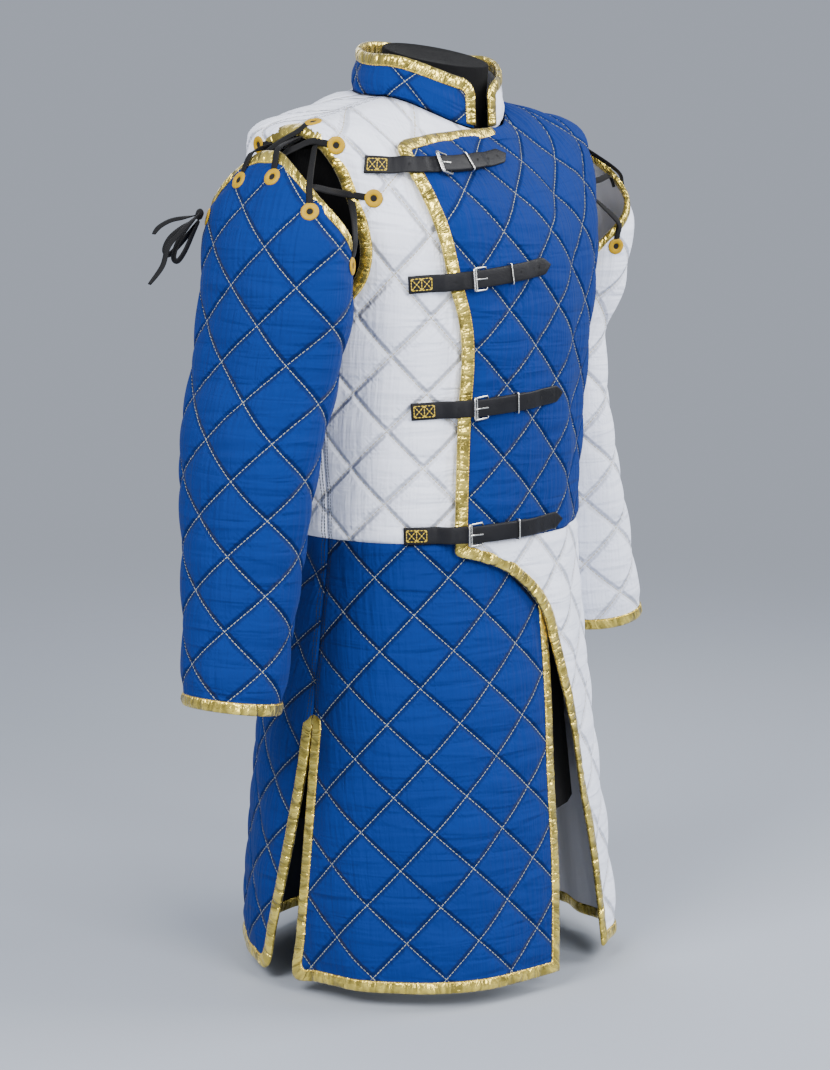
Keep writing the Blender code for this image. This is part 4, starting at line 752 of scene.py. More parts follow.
EYELET_RADIUS, EYELET_HOLE = 9.6, 3.2
PRESSED = 2.2             # rise of the wadding where an eyelet is sewn through it
STRAND_THICK = 1.1
STRAND_DIP = 2.6          # how far a strand goes down into its eyelet
STRAND_RISE = {"sleeve": (0.6, 1.6), "body": (0.0, 0.9)}   # over the quilting, and over the binding
STRAND_UNDER, STRAND_ARCH = -4.5, 1.2      # below the next edge, and up between the two edges


def eyelets_of(side):
    """Every eyelet of a shoulder: its cloth and flat place, in the order that the lace passes them."""
    return [lace_stops(side, end) for end in LACE_ROUTE]


def make_strands(side):
    """Strands between neighbouring eyelets, each over its own edge and under the next one's."""
    over = CLOTH + BAND_CLOTH + BAND_CROWN + LACE_THICK / 2
    low = CLOTH + LACE_THICK / 2 + PRESSED
    mouths = []
    for end, (cloth, (eyelet, quilting, mouth)) in zip(LACE_ROUTE, eyelets_of(side)):
        up, up_over = STRAND_RISE["sleeve" if end.on == "sleeve" else "body"]
        way_over = [cloth.place(p.x, p.y, rise) for p, rise in (
            (eyelet, low - STRAND_DIP), (quilting, low + up), (mouth, over + up_over))]
        way_under = [cloth.place(p.x, p.y, STRAND_UNDER) for p in (mouth, quilting)]
        mouths.append((way_over, way_under, cloth.normal(mouth.x, mouth.y)))
    for i, ((here, _, out), (_, there, out_there)) in enumerate(zip(mouths, mouths[1:])):
        between = here[-1].lerp(there[0], 0.5) + (out + out_there) * STRAND_ARCH
        places = smooth_path([*here, between, *there], 5)
        outs = [out.lerp(out_there, k / (len(places) - 1)).normalized() for k in range(len(places))]
        strip(f"braid_strand_{side}_{i + 1}", places, outs, LACE_WIDTH, STRAND_THICK, [BRAID],
              "black_lace", [f"lace_{side}"] if i == 0 else ())


def wound_thread(tree, hex_color):
    """Mercerised embroidery thread: smooth cotton with a soft gloss, wound close, uneven every 1.1 mm."""
    fluff = node(tree, "TexNoise", {"Vector": node(tree, "TexCoord").outputs["Object"], "Scale": 900,
                                    "Detail": 3})
    level = node(tree, "MapRange", {"Value": fluff, "To Min": 0.75, "To Max": 1.2})
    return {
        "Base Color": node(tree, "HueSaturation", {"Color": linear(hex_color), "Value": level}),
        "Roughness": 0.5, "Sheen Weight": 0.03, "Specular IOR Level": 0.25,
    }


def hole_shadow(tree):
    """The unlit cloth down in a hole."""
    return {"Base Color": linear("#0B0B0D"), "Roughness": 0.95}


EYELET_THREAD = material("yellow_embroidery_thread", wound_thread, "#B08A00")
HOLE_SHADOW = material("hole_shadow", hole_shadow)
EYELET_RISE, EYELET_THREADS = 1.3, 72      # mm from the ring's middle to its top, threads round it
THREAD_DIP, RAGGED = 0.16, 0.035           # how much lower each second thread lies, how uneven the ring is


def painted_hole_shadow(name, centre, across, up, out, radius, segments, slot):
    """A flat disc of painted shadow that stands for the shaded inside of a hole."""
    mesh = bmesh.new()
    bmesh.ops.create_circle(mesh, cap_ends=True, radius=radius, segments=segments)
    for vert in mesh.verts:
        vert.co = metres(centre + across * vert.co.x + up * vert.co.y)
    if not looks_out(mesh.faces, centre, out):
        bmesh.ops.reverse_faces(mesh, faces=mesh.faces[:])
    finished(name, mesh, [HOLE_SHADOW], slot)


def eyelet(name, centre, out, up):
    """A buttonhole-stitched ring: a low torus whose section is drawn in between the threads."""
    mesh = bmesh.new()
    half, middle = (EYELET_RADIUS - EYELET_HOLE) / 2, (EYELET_RADIUS + EYELET_HOLE) / 2
    bmesh.ops.create_circle(mesh, cap_ends=False, radius=half, segments=10)
    for vert in mesh.verts:
        vert.co = Vector((middle + vert.co.x, 0, vert.co.y * EYELET_RISE / half))
    bmesh.ops.spin(mesh, geom=mesh.verts[:] + mesh.edges[:], cent=(0, 0, 0), axis=(0, 0, 1),
                   angle=2 * math.pi, steps=EYELET_THREADS, use_merge=True, use_duplicate=False)
    bmesh.ops.remove_doubles(mesh, verts=mesh.verts[:], dist=0.001)
    across = up.cross(out).normalized()
    for vert in mesh.verts:
        turn = math.atan2(vert.co.y, vert.co.x)
        sunk = round(turn / (2 * math.pi) * EYELET_THREADS) % 2
        ragged = 1 + RAGGED * noise.noise(Vector((math.cos(turn), math.sin(turn), centre.x)) * 6)
        x, y, z = vert.co.x * ragged, vert.co.y * ragged, vert.co.z * (1.0 - THREAD_DIP * sunk)
        vert.co = metres(centre + across * x + up * y + out * z)
    bmesh.ops.recalc_face_normals(mesh, faces=mesh.faces[:])
    finished(name, mesh, [EYELET_THREAD], "gold_lame")
    # The eyelet's hole is a flat disc of painted shadow laid over the cloth.
    painted_hole_shadow(name + "_hole", centre + out * 0.15, across, up, out, EYELET_HOLE + 0.5, 20, "black_lace")


for side in SIDES:
    make_strands(side)
for side in SIDES:
    for i, (cloth, (place, _, mouth)) in enumerate(eyelets_of(side)):
        out = cloth.normal(place.x, place.y)
        centre = cloth.place(place.x, place.y, CLOTH + PRESSED + 0.1)
        toward = cloth.place(mouth.x, mouth.y, CLOTH) - centre
        eyelet(f"eyelet_{side}_{i + 1}", centre, out, (toward - out * toward.dot(out)).normalized())


# ---- Quilted panels. Two layers of cotton drill with wadding between, sewn through in diamonds with
# pale thread, so each diamond swells and the thread lines sink and pucker. The lining stays plain.

Quilt = namedtuple("Quilt", "s v")
WHITE_CHEST = Quilt(-145, 609)
BLUE_CHEST = Quilt(-19, 656)
BLUE_SKIRT = Quilt(-38, 411)
WHITE_SKIRT = Quilt(30, 411)
BACK_QUILT = Quilt(0, 411)
SLEEVE_QUILT = Quilt(-52, 606)
COLLAR_QUILT = Quilt(60, 20)
SIDE_LENGTH = 55.5        # mm between neighbouring parallel lines
STITCH, STITCH_GAP = 4.4, 0.3    # mm of one stitch with the gap after it, and the gap's share
THREAD_HALF = 0.36        # mm, half the thread's width, drawn a little coarse so that it shows
GROOVE_HALF = 5.0         # mm from a sewn line to where the cloth is full again
PUCKER_STEP, PUCKER_REACH = 3.2, 15.0    # mm between the puckers of a line, and how far they run out
PUCKER_DRIFT = 0.07                      # change of a pucker per mm on its way out
TOPSTITCH, TOPSTITCH_ROWS, TOPSTITCH_HALF = 0.0036, (0.0028, 0.0062), 0.00055   # metres, by a side seam
HEIGHTS = {"groove": 3.2, "pucker": 1.9, "wrinkle": 5.5, "weave": 0.12, "thread": 0.3}
SEAM_THREAD = "#2B2D38"
# Outside, lining and thread of each cloth, with how strong its ripples are and how far painted shade darkens
# the cloth along a sewn line.
CLOTH_COLORS = {
    "blue": ("#01276C", "#03122E", "#A3A795", 2.6, 0.62),
    "white": ("#EDF1FF", "#F4F5FF", "#BDB088", 1.7, 0.86),
}


def drill(tree, color, quilt):
    """Quilted cotton drill: matt, with puckers beside each thread line, ripples 6 mm wide and 70 mm long,
    slack wrinkles 16 mm high and 110 mm long, and a weave drawn at 1.4 mm so that it shows. Its colour is
    darkened by painted shade in the groove along each sewn line."""
    hex_color, _, hex_thread, ripple, sunk_shade = CLOTH_COLORS[color]
    flat_place = node(tree, "UVMap", uv_map="UVMap")
    split = node(tree, "SeparateXYZ", [flat_place]).outputs
    from_s = node(tree, "Math", [split[0], quilt.s * MM], operation="SUBTRACT")
    from_v = node(tree, "Math", [split[1], quilt.v * MM], operation="SUBTRACT")
    wide = node(tree, "Math", [from_s, DIAMOND_WIDE * MM], operation="DIVIDE")
    tall = node(tree, "Math", [from_v, DIAMOND_TALL * MM], operation="DIVIDE")
    ways = [node(tree, "Math", [wide, tall], operation=sign) for sign in ("ADD", "SUBTRACT")]
    thread, groove, pucker = 0.0, 1.0, 0.0
    for across, along in (ways, ways[::-1]):
        nearest = node(tree, "Math", [across, 0.5], operation="ADD")
        nearest = node(tree, "Math", [nearest], operation="FRACT")
        nearest = node(tree, "Math", [nearest, 0.5], operation="SUBTRACT")
        nearest = node(tree, "Math", [nearest], operation="ABSOLUTE")
        away = node(tree, "Math", [nearest, SIDE_LENGTH], operation="MULTIPLY")
        step = node(tree, "Math", [along, SIDE_LENGTH / STITCH], operation="MULTIPLY")
        step = node(tree, "Math", [step], operation="FRACT")
        on_line = node(tree, "Math", [away, THREAD_HALF], operation="LESS_THAN")
        in_stitch = node(tree, "Math", [step, STITCH_GAP], operation="GREATER_THAN")
        line = node(tree, "Math", [on_line, in_stitch], operation="MULTIPLY")
        thread = node(tree, "Math", [thread, line], operation="MAXIMUM")
        sunk = node(tree, "MapRange", {"Value": away, "From Max": GROOVE_HALF},
                    interpolation_type="SMOOTHSTEP")
        groove = node(tree, "Math", [groove, sunk], operation="MULTIPLY")
        fold_step = node(tree, "Math", [along, SIDE_LENGTH / PUCKER_STEP], operation="MULTIPLY")
        fold_run = node(tree, "Math", [away, PUCKER_DRIFT], operation="MULTIPLY")
        place = node(tree, "CombineXYZ", [fold_step, fold_run])
        folds = node(tree, "TexNoise", {"Vector": place, "Scale": 1.0, "Detail": 1})
        folds = node(tree, "Math", [folds, 0.5], operation="SUBTRACT")
        near = node(tree, "MapRange", {"Value": away, "From Max": PUCKER_REACH, "To Min": 1.0,
                                       "To Max": 0.0})
        folds = node(tree, "Math", [folds, near], operation="MULTIPLY")
        pucker = node(tree, "Math", [pucker, folds], operation="ADD")
    stretched = node(tree, "Mapping", {"Vector": flat_place, "Scale": (170, 14, 1)})
    ripples = node(tree, "TexNoise", {"Vector": stretched, "Scale": 1.0, "Detail": 2})
    slack = node(tree, "Mapping", {"Vector": flat_place, "Scale": (9, 62, 1)})
    wrinkles = node(tree, "TexNoise", {"Vector": slack, "Scale": 1.0, "Detail": 2, "Distortion": 0.5})
    weave = node(tree, "TexNoise", {"Vector": flat_place, "Scale": 700, "Detail": 3})
    height = 0.0
    for relief, much in ((groove, HEIGHTS["groove"]), (pucker, HEIGHTS["pucker"]), (ripples, ripple),
                         (wrinkles, HEIGHTS["wrinkle"]), (weave, HEIGHTS["weave"]),
                         (thread, HEIGHTS["thread"])):
        height = node(tree, "Math", [relief, much, height], operation="MULTIPLY_ADD")
    seam = node(tree, "SeparateXYZ", [node(tree, "UVMap", uv_map="Seam")]).outputs
    topstitch = 0.0
    for from_seam in TOPSTITCH_ROWS:
        away = node(tree, "Math", [seam[1], from_seam], operation="SUBTRACT")
        away = node(tree, "Math", [away], operation="ABSOLUTE")
        row = node(tree, "Math", [away, TOPSTITCH_HALF], operation="LESS_THAN")
        topstitch = node(tree, "Math", [topstitch, row], operation="MAXIMUM")
    step = node(tree, "Math", [seam[0], TOPSTITCH], operation="DIVIDE")
    step = node(tree, "Math", [step], operation="FRACT")
    in_stitch = node(tree, "Math", [step, 0.25], operation="GREATER_THAN")
    topstitch = node(tree, "Math", [topstitch, in_stitch], operation="MULTIPLY")
    clouds = node(tree, "TexNoise", {"Vector": flat_place, "Scale": 9, "Detail": 4})
    clouds = node(tree, "MapRange", {"Value": clouds, "To Min": 0.9, "To Max": 1.1})
    # Painted shade: the colour is darkened in the groove along each sewn line, down to sunk_shade, so shade
    # and dyed below hold this painted shade as well as the cloth's random tone.
    sunk = node(tree, "MapRange", {"Value": groove, "To Min": sunk_shade, "To Max": 1.0})
    shade = node(tree, "Math", [clouds, sunk], operation="MULTIPLY")
    dyed = node(tree, "HueSaturation", {"Color": linear(hex_color), "Value": shade})
    sewn = node(tree, "MixRGB", [thread, dyed, linear(hex_thread)])
    return {
        "Base Color": node(tree, "MixRGB", [topstitch, sewn, linear(SEAM_THREAD)]),
        "Normal": node(tree, "Bump", {"Height": height, "Strength": 1.0, "Distance": 0.0011}),
        "Roughness": 0.82, "Sheen Weight": 0.02, "Specular IOR Level": 0.15,
    }


def lining(tree, hex_color):
    """Plain cotton sateen lining: smooth and matt, in soft creases 17 mm wide and 80 mm long, with painted
    shade in their hollows and painted light on their crests.
    """
    stretched = node(tree, "Mapping", {"Vector": node(tree, "UVMap", uv_map="UVMap"),
                                       "Scale": (60, 12, 1)})
    creases = node(tree, "TexNoise", {"Vector": stretched, "Scale": 1.0, "Detail": 3})
    # Painted light and shade: the colour follows the creases' height, darker in their hollows and lighter on
    # their crests.
    level = node(tree, "MapRange", {"Value": creases, "To Min": 0.85, "To Max": 1.1})
    return {
        "Base Color": node(tree, "HueSaturation", {"Color": linear(hex_color), "Value": level}),
        "Normal": node(tree, "Bump", {"Height": creases, "Strength": 0.6, "Distance": 0.002}),
        "Roughness": 0.75,
    }


LININGS = {color: material(f"{color}_lining", lining, hexes[1]) for color, hexes in CLOTH_COLORS.items()}


def diamond(quilt, s, v):
    """How far along the two families of quilting lines a flat point lies."""
    wide, tall = (s - quilt.s) / DIAMOND_WIDE, (v - quilt.v) / DIAMOND_TALL
    return wide + tall, wide - tall


UNEVEN, FULL = 0.16, 0.93        # how much the wadding varies, and how far it fills its height


def swell(quilt, s, v):
    """Rise of the wadding at a flat place: full in a diamond's middle, down to the sewn lines."""
    p, q = diamond(quilt, s, v)
    shape = abs(math.sin(math.pi * p) * math.sin(math.pi * q))
    uneven = 1 + UNEVEN * noise.noise(Vector((s * 0.014, v * 0.014, quilt.s)))
    return PILLOW * FULL * math.sqrt(shape + 0.002) * uneven


BROAD_CREASE, FINE_CREASE = 0.8, 0.4      # mm


def crease(s, v, seed):
    """Soft uneven creases of worn cloth: broad ones of 50 by 80 mm, and fine ones of 9 by 30 mm."""
    broad = noise.noise(Vector((s * 0.02, v * 0.012, seed)))
    fine = noise.noise(Vector((s * 0.11, v * 0.035, seed + 7)))
    return BROAD_CREASE * broad + FINE_CREASE * fine


def spread(values, columns, rows):
    """Reads a coarse grid of values at columns + 1 by rows + 1 points, on smooth curves through it."""
    for count in (columns, rows):
        places = np.linspace(0, len(values) - 1, count + 1)
        index = np.minimum(places.astype(int), len(values) - 2)
        u = (places - index).reshape(-1, 1, 1)
        padded = np.concatenate([2 * values[:1] - values[1:2], values, 2 * values[-1:] - values[-2:-1]])
        values = curve(*(padded[index + k] for k in range(4)), u).swapaxes(0, 1)
    return values


COARSE = 3                # mesh steps between the places where the cloth's form is worked out
BAND_FADE = (BAND_WIDTH - 5, BAND_WIDTH + 17)    # the wadding swells between these, in from a bound edge
SEAM_KEEP, SEAM_FADE = 0.25, 8.0     # share of the rise kept at a plain seam, and where it is whole
EYELET_FADE = 12.0                   # mm round an eyelet over which the wadding rises again
EYELETS = {}
for side in SIDES:
    for cloth, stops in eyelets_of(side):
        EYELETS.setdefault(cloth, []).append(stops[0])


def quilted(name, cloth, sides, heights, quilt, bound, keep=None):
    """A quilted wall. sides(v) are its flat edges, heights(part) its ends, and bound says which of its
    left, right, low and high edges lie in a binding (True) or a seam (False); keep sees to None."""
    seed = len(name) + quilt.s * 0.01
    low, high = heights(0.5)
    wide = max(abs(b - a) for a, b in (sides(low + (high - low) * k / 8) for k in range(9)))
    across = max(int(wide / SPACING / COARSE), 3)
    up = max(int((high - low) / SPACING / COARSE), 3)

    def known(u, v):
        bottom, top = heights(u)
        height = bottom + (top - bottom) * v
        left, right = sides(height)
        s = left + (right - left) * u
        kept = keep(s, height) if keep else 1.0
        away = (s - left, right - s, height - bottom, top - height)
        return (s, height, *cloth.place(s, height, 0), *cloth.normal(s, height), *away, kept)

    coarse = np.array([[known(i / across, j / up) for j in range(up + 1)] for i in range(across + 1)])
    columns, rows = across * COARSE, up * COARSE
    table = spread(coarse, columns, rows)

    def at(u, v):
        return table[round(u * columns)][round(v * rows)]

    def raised(u, v, outer):
        s, height, x, y, z, out_x, out_y, out_z, *aways, kept = at(u, v)
        rise = 0.4 * noise.noise(Vector((s * 0.03, height * 0.01, seed)))
        if outer:
            fade = min(max(kept, 0.0), 1.0)
            for away, is_bound in zip(aways, bound):
                if is_bound:
                    fade *= soft_step(away, *BAND_FADE)
                elif is_bound is False:
                    fade *= SEAM_KEEP + (1 - SEAM_KEEP) * soft_step(away, 0, SEAM_FADE)
            rise = (swell(quilt, s, height) + crease(s, height, seed)) * fade
            for spot in EYELETS.get(cloth, []):
                free = soft_step(math.hypot(s - spot.x, height - spot.y) - EYELET_RADIUS, 0, EYELET_FADE)
                rise = PRESSED + (rise - PRESSED) * free
            rise += CLOTH
        return Vector((x, y, z)) + Vector((out_x, out_y, out_z)) * rise

    mesh = bmesh.new()
    walls = [grid(mesh, columns, rows, lambda u, v: raised(u, v, side == 0),
                  lambda u, v: at(u, v)[:2], side) for side in (0, 1)]
    (outer, outer_faces), (inner, inner_faces) = walls
    layer = mesh.loops.layers.uv.new("Seam")
    for (column, row), vert in outer.items():
        aways = table[column][row][8:12]
        side_seam = min([away for away, is_bound in zip(aways, bound) if is_bound is None], default=90.0)
        for corner in vert.link_loops:
            corner[layer].uv = (table[column][row][1] * MM, side_seam * MM)
    faces_out = looks_out(outer_faces, raised(0.5, 0.5, True), Vector(at(0.5, 0.5)[5:8]))
    bmesh.ops.reverse_faces(mesh, faces=inner_faces if faces_out else outer_faces)
    return mesh, outer, inner


def padded_piece(name, mesh, color, quilt):
    """The finished piece of a quilted wall, in its cloth and lining."""
    outside = material(f"drill_{name}", drill, color, quilt)
    piece = finished(f"quilted_{name}", mesh, [outside, LININGS[color]], f"{color}_quilting", [name])
    cut_flat(piece)


def flat(cloth, point):
    return Vector((point.s, cloth.v_of_level(point.level)))


def stretch(cloth, point):
    """Lengths and slant of the two flat directions where the cloth lies on its form."""
    across = cloth.bare(point.x + PROBE, point.y) - cloth.bare(point.x - PROBE, point.y)
    up = cloth.bare(point.x, point.y + PROBE) - cloth.bare(point.x, point.y - PROBE)
    scale = (2 * PROBE) ** 2
    return across.dot(across) / scale, across.dot(up) / scale, up.dot(up) / scale


def measured(metric, a, b):
    ss, sv, vv = metric
    return a.x * b.x * ss + (a.x * b.y + a.y * b.x) * sv + a.y * b.y * vv


def left_of(metric, direction):
    """Flat direction square to this one on the worn cloth, to its left, one unit long there."""
    ss, sv, vv = metric
    turned = Vector((-(direction.x * sv + direction.y * vv), direction.x * ss + direction.y * sv))
    return turned / math.sqrt(measured(metric, turned, turned))


def inset(cloth, path, width):
    """The points of an open path moved to its left by width along the worn cloth, mitred."""
    moved = []
    for i, point in enumerate(path):
        step = Vector((0, 0))
        for _ in range(2):
            metric = stretch(cloth, point + step / 2)
            sides = []
            if i:
                sides.append(left_of(metric, point - path[i - 1]))
            if i < len(path) - 1:
                sides.append(left_of(metric, path[i + 1] - point))
            middle = sides[0] + sides[-1]
            middle /= math.sqrt(measured(metric, middle, middle))
            step = middle * width / max(measured(metric, middle, sides[0]), 0.5)
        moved.append(point + step)
    return moved


def resampled(path, step):
    """The same path with no piece longer than step."""
    out = []
    for a, b in zip(path, path[1:]):
        count = max(int(math.ceil((b - a).length / step)), 1)
        out += [a.lerp(b, i / count) for i in range(count)]
    return out + [path[-1]]


def joined(mesh):
    """Closes a wall between its outer and inner faces along their edges."""
    bmesh.ops.bridge_loops(mesh, edges=[edge for edge in mesh.edges if edge.is_boundary])


def hem_v(cloth):
    return cloth.v_of_level(HEM_Z)


BOUND_BACK, SEAM_BACK = 3.0, 0.2     # mm from a binding's edge, and from a seam, to the cloth's own edge
ARMHOLE_RUN_OUT = 0.03               # rows over which the armhole's foot runs out to the side seam
LAP_PRESS = (18, 2)                  # mm before the lap's edge over which the right front is pressed flat


def arm_side(cloth, v):
    """How far round the body the cloth reaches at this height: slit, side seam, armhole, shoulder."""
    row = cloth.row_of(v)
    reach = cloth.reach(v)
    spread = BACK_SLIT_SPREAD if cloth.side == "back" else FRONT_SLIT_SPREAD
    slit_v = cloth.v_of_level(SLIT_TOP_Z)
    if v < slit_v:
        open_part = min((slit_v - v) / (slit_v - hem_v(cloth)), 1.0) ** SLIT_BOW
        return reach - BOUND_BACK - spread * open_part
    if ARMHOLE_FOOT_ROW < row < ARMHOLE_TOP_ROW:
        part = min((row - ARMHOLE_FOOT_ROW) / ARMHOLE_RUN_OUT, 1.0)
        return reach - (armhole_inward(row, cloth.side) + BOUND_BACK) * part
    return reach - SEAM_BACK


def neckline_s(cloth, v):
    """The left front's free edge from the lap's corner up to the neck."""
    return read_off([(p.y, p.x) for p in (flat(cloth, q) for q in [LAP_CORNER, *LAP_NECKLINE[::-1]])], v)


def left_front_sides(v):
    if v > flat(LEFT_FRONT, LAP_CORNER).y:
        edge = neckline_s(LEFT_FRONT, v) + 2 * BOUND_BACK
    else:
        edge = lap_edge_s(LEFT_FRONT, v) + BOUND_BACK
    return edge, arm_side(LEFT_FRONT, v)


def right_front_sides(v):
    return -arm_side(FRONT, v), right_edge_s(FRONT, v) - BOUND_BACK


def loft(cloth, s, v):
    """How much of its rise the wadding keeps by a bound armhole, slit or lap, and by the side seam."""
    away = arm_side(cloth, v) - abs(s)
    if v < cloth.v_of_level(SLIT_TOP_Z) + 6 or cloth.row_of(v) > ARMHOLE_FOOT_ROW - 0.1:
        kept = soft_step(away, *BAND_FADE)
    else:
        kept = SEAM_KEEP + (1 - SEAM_KEEP) * soft_step(away, 0, SEAM_FADE)
    if cloth is FRONT:
        edge = lap_edge_s(FRONT, v)
        kept *= 1 - soft_step(s, edge - LAP_PRESS[0], edge - LAP_PRESS[1])
    return kept


# Front and back halves, each with a skirt sewn on at the waist: cloth, flat edges, colours and quilts
# of the upper panel and the skirt. A binding lies at the front edges and the hem, a seam at the rest.
Half = namedtuple("Half", "name cloth sides upper skirt upper_quilt skirt_quilt left right")
HALVES = rows_of(
    Half,
    ("front_right", FRONT, right_front_sides, "white", "blue", WHITE_CHEST, BLUE_SKIRT, None, True),
    ("front_left", LEFT_FRONT, left_front_sides, "blue", "white", BLUE_CHEST, WHITE_SKIRT, True, None),
    ("back_right", BACK, lambda v: (-arm_side(BACK, v), -SEAM_BACK), "white", "blue",
     BACK_QUILT, BACK_QUILT, None, False),
    ("back_left", BACK, lambda v: (SEAM_BACK, arm_side(BACK, v)), "blue", "white",
     BACK_QUILT, BACK_QUILT, False, None),
)
NECK_BACK = 0.4
for half in HALVES:
    cloth = half.cloth
    waist = cloth.v_of_level(WAIST_Z)
    neck = cloth.v_of_row(len(BODY_ROWS) - 1) - NECK_BACK
    for part, color, quilt, ends, low_bound in (
        ("upper", half.upper, half.upper_quilt, (waist + SEAM_BACK, neck), False),
        ("skirt", half.skirt, half.skirt_quilt, (hem_v(cloth) + BOUND_BACK, waist - SEAM_BACK), True),
    ):
        name = f"{half.name}_{part}"
        mesh, _, _ = quilted(name, cloth, half.sides, lambda u: ends, quilt,
                             (half.left, half.right, low_bound, False), lambda s, v: loft(cloth, s, v))
        joined(mesh)
        padded_piece(name, mesh, color, quilt)


def make_sleeve(side, color):
    """One sleeve: a quilted tube, closed by a seam under the arm."""
    cloth = SLEEVES[side]
    low = cloth.rows[0].z

    def sides(v):
        reach = cloth.reach(min(v, SLEEVE_HEAD_TOP))
        return -reach, reach

    def heights(part):
        return low + BOUND_BACK, sleeve_head_v(part * 2 - 1) - BOUND_BACK

    mesh, outer, inner = quilted(f"sleeve_{side}", cloth, sides, heights, SLEEVE_QUILT,
                                 (False, False, True, True))
    columns = max(column for column, _ in outer)
    for wall in (outer, inner):
        seam = {vert: wall[0, row] for (column, row), vert in wall.items() if column == columns}
        bmesh.ops.weld_verts(mesh, targetmap=seam)
    edges = [edge for edge in mesh.edges if edge.is_boundary]
    arm_z = (low + 150 - FLOOR_Z) * MM
    for is_cuff in (True, False):
        ring = [edge for edge in edges if (edge.verts[0].co.z < arm_z) == is_cuff]
        bmesh.ops.bridge_loops(mesh, edges=ring)
    padded_piece(f"sleeve_{side}", mesh, color, SLEEVE_QUILT)


make_sleeve("right", "blue")
make_sleeve("left", "white")


# ---- Collar. Each half is a quilted stand, rounded off at its front corner.

# Level rings of the standing collar: its plain inner face.
CollarRow = namedtuple("CollarRow", "z_front z_side z_back half_width front_depth back_depth")
COLLAR_ROWS = rows_of(
    CollarRow, (962, 997.5, 1008.5, 81, 74, 81), (986, 1018, 1031, 78.5, 73, 78.5),
    (1010, 1039, 1054, 76, 72, 75),
)
COLLAR_FOOT = -2.5           # mm from the neck seam to the cloth's lower edge
COLLAR_LIFT, COLLAR_LAP = LAP_LIFT * 0.6, 45.0     # mm up at the front edge, and back to where it lies down
COLLAR_CORNER = 16.0


class CollarCloth(Cloth):
    """The standing collar: s runs from the centre front to the centre back, v is 0 to 1 up it."""

    columns = smooth_table(COLLAR_ROWS)
    facing = 1
    height = 48.0

    def ring_point(self, row, part):
        angle = part * math.pi
        get = self.sizes_at(row)
        part_side = "front" if math.cos(angle) > 0 else "back"
        depth, level = get[f"{part_side}_depth"], get[f"z_{part_side}"]
        x = get["half_width"] * math.sin(angle)
        z = level + (get["z_side"] - level) * math.sin(angle) ** 2
        return Vector((x, BODY_Y - depth * math.cos(angle), z))

    def turned(self, point, sign):
        return Vector((sign * point.x, point.y, point.z))

    def row_of(self, v):
        return v / self.height * (len(COLLAR_ROWS) - 1)


def collar_lap(s, v):
    """Lift of the left half's front end, which lies on the lap."""
    return COLLAR_LIFT * (1 - soft_step(s, 0.0, COLLAR_LAP))


# Cloth, distance of the front edge from the centre line, and colour of each half.
COLLARS = {"right": (CollarCloth(None), 13.0, "blue"), "left": (CollarCloth(collar_lap), 3.0, "white")}


def collar_top(start, s):
    """Height of a collar half's upper edge, which is rounded off at the front."""
    round_part = max(COLLAR_CORNER - (s - start), 0.0) / COLLAR_CORNER
    return CollarCloth.height - COLLAR_CORNER * (1 - math.sqrt(max(1 - round_part ** 2, 0.0)))


def make_collar(side):
    sign = SIDES[side]
    cloth, start, color = COLLARS[side]

    def sides(v):
        ends = (start + BOUND_BACK, cloth.reach(min(max(v, 0.0), cloth.height)) - SEAM_BACK)
        return ends if sign > 0 else (-ends[1], -ends[0])

    def heights(part):
        across = start + (cloth.reach(cloth.height / 2) - start) * (part if sign > 0 else 1 - part)
        return COLLAR_FOOT, collar_top(start, across + BOUND_BACK) - BOUND_BACK

    mesh, _, _ = quilted(f"collar_{side}", cloth, sides, heights, COLLAR_QUILT,
                         (sign > 0, sign < 0, False, True))
    joined(mesh)
    padded_piece(f"collar_{side}", mesh, color, COLLAR_QUILT)


for side in SIDES:
    make_collar(side)


# ---- Bindings. A bias strip of gold lame is folded over each cut edge and top-stitched in yellow. The
# metal film crumples where it is pulled round, in slanted puckers that glint.

FOIL_STITCH_HALF = 0.0006    # metres, as the binding's flat places are


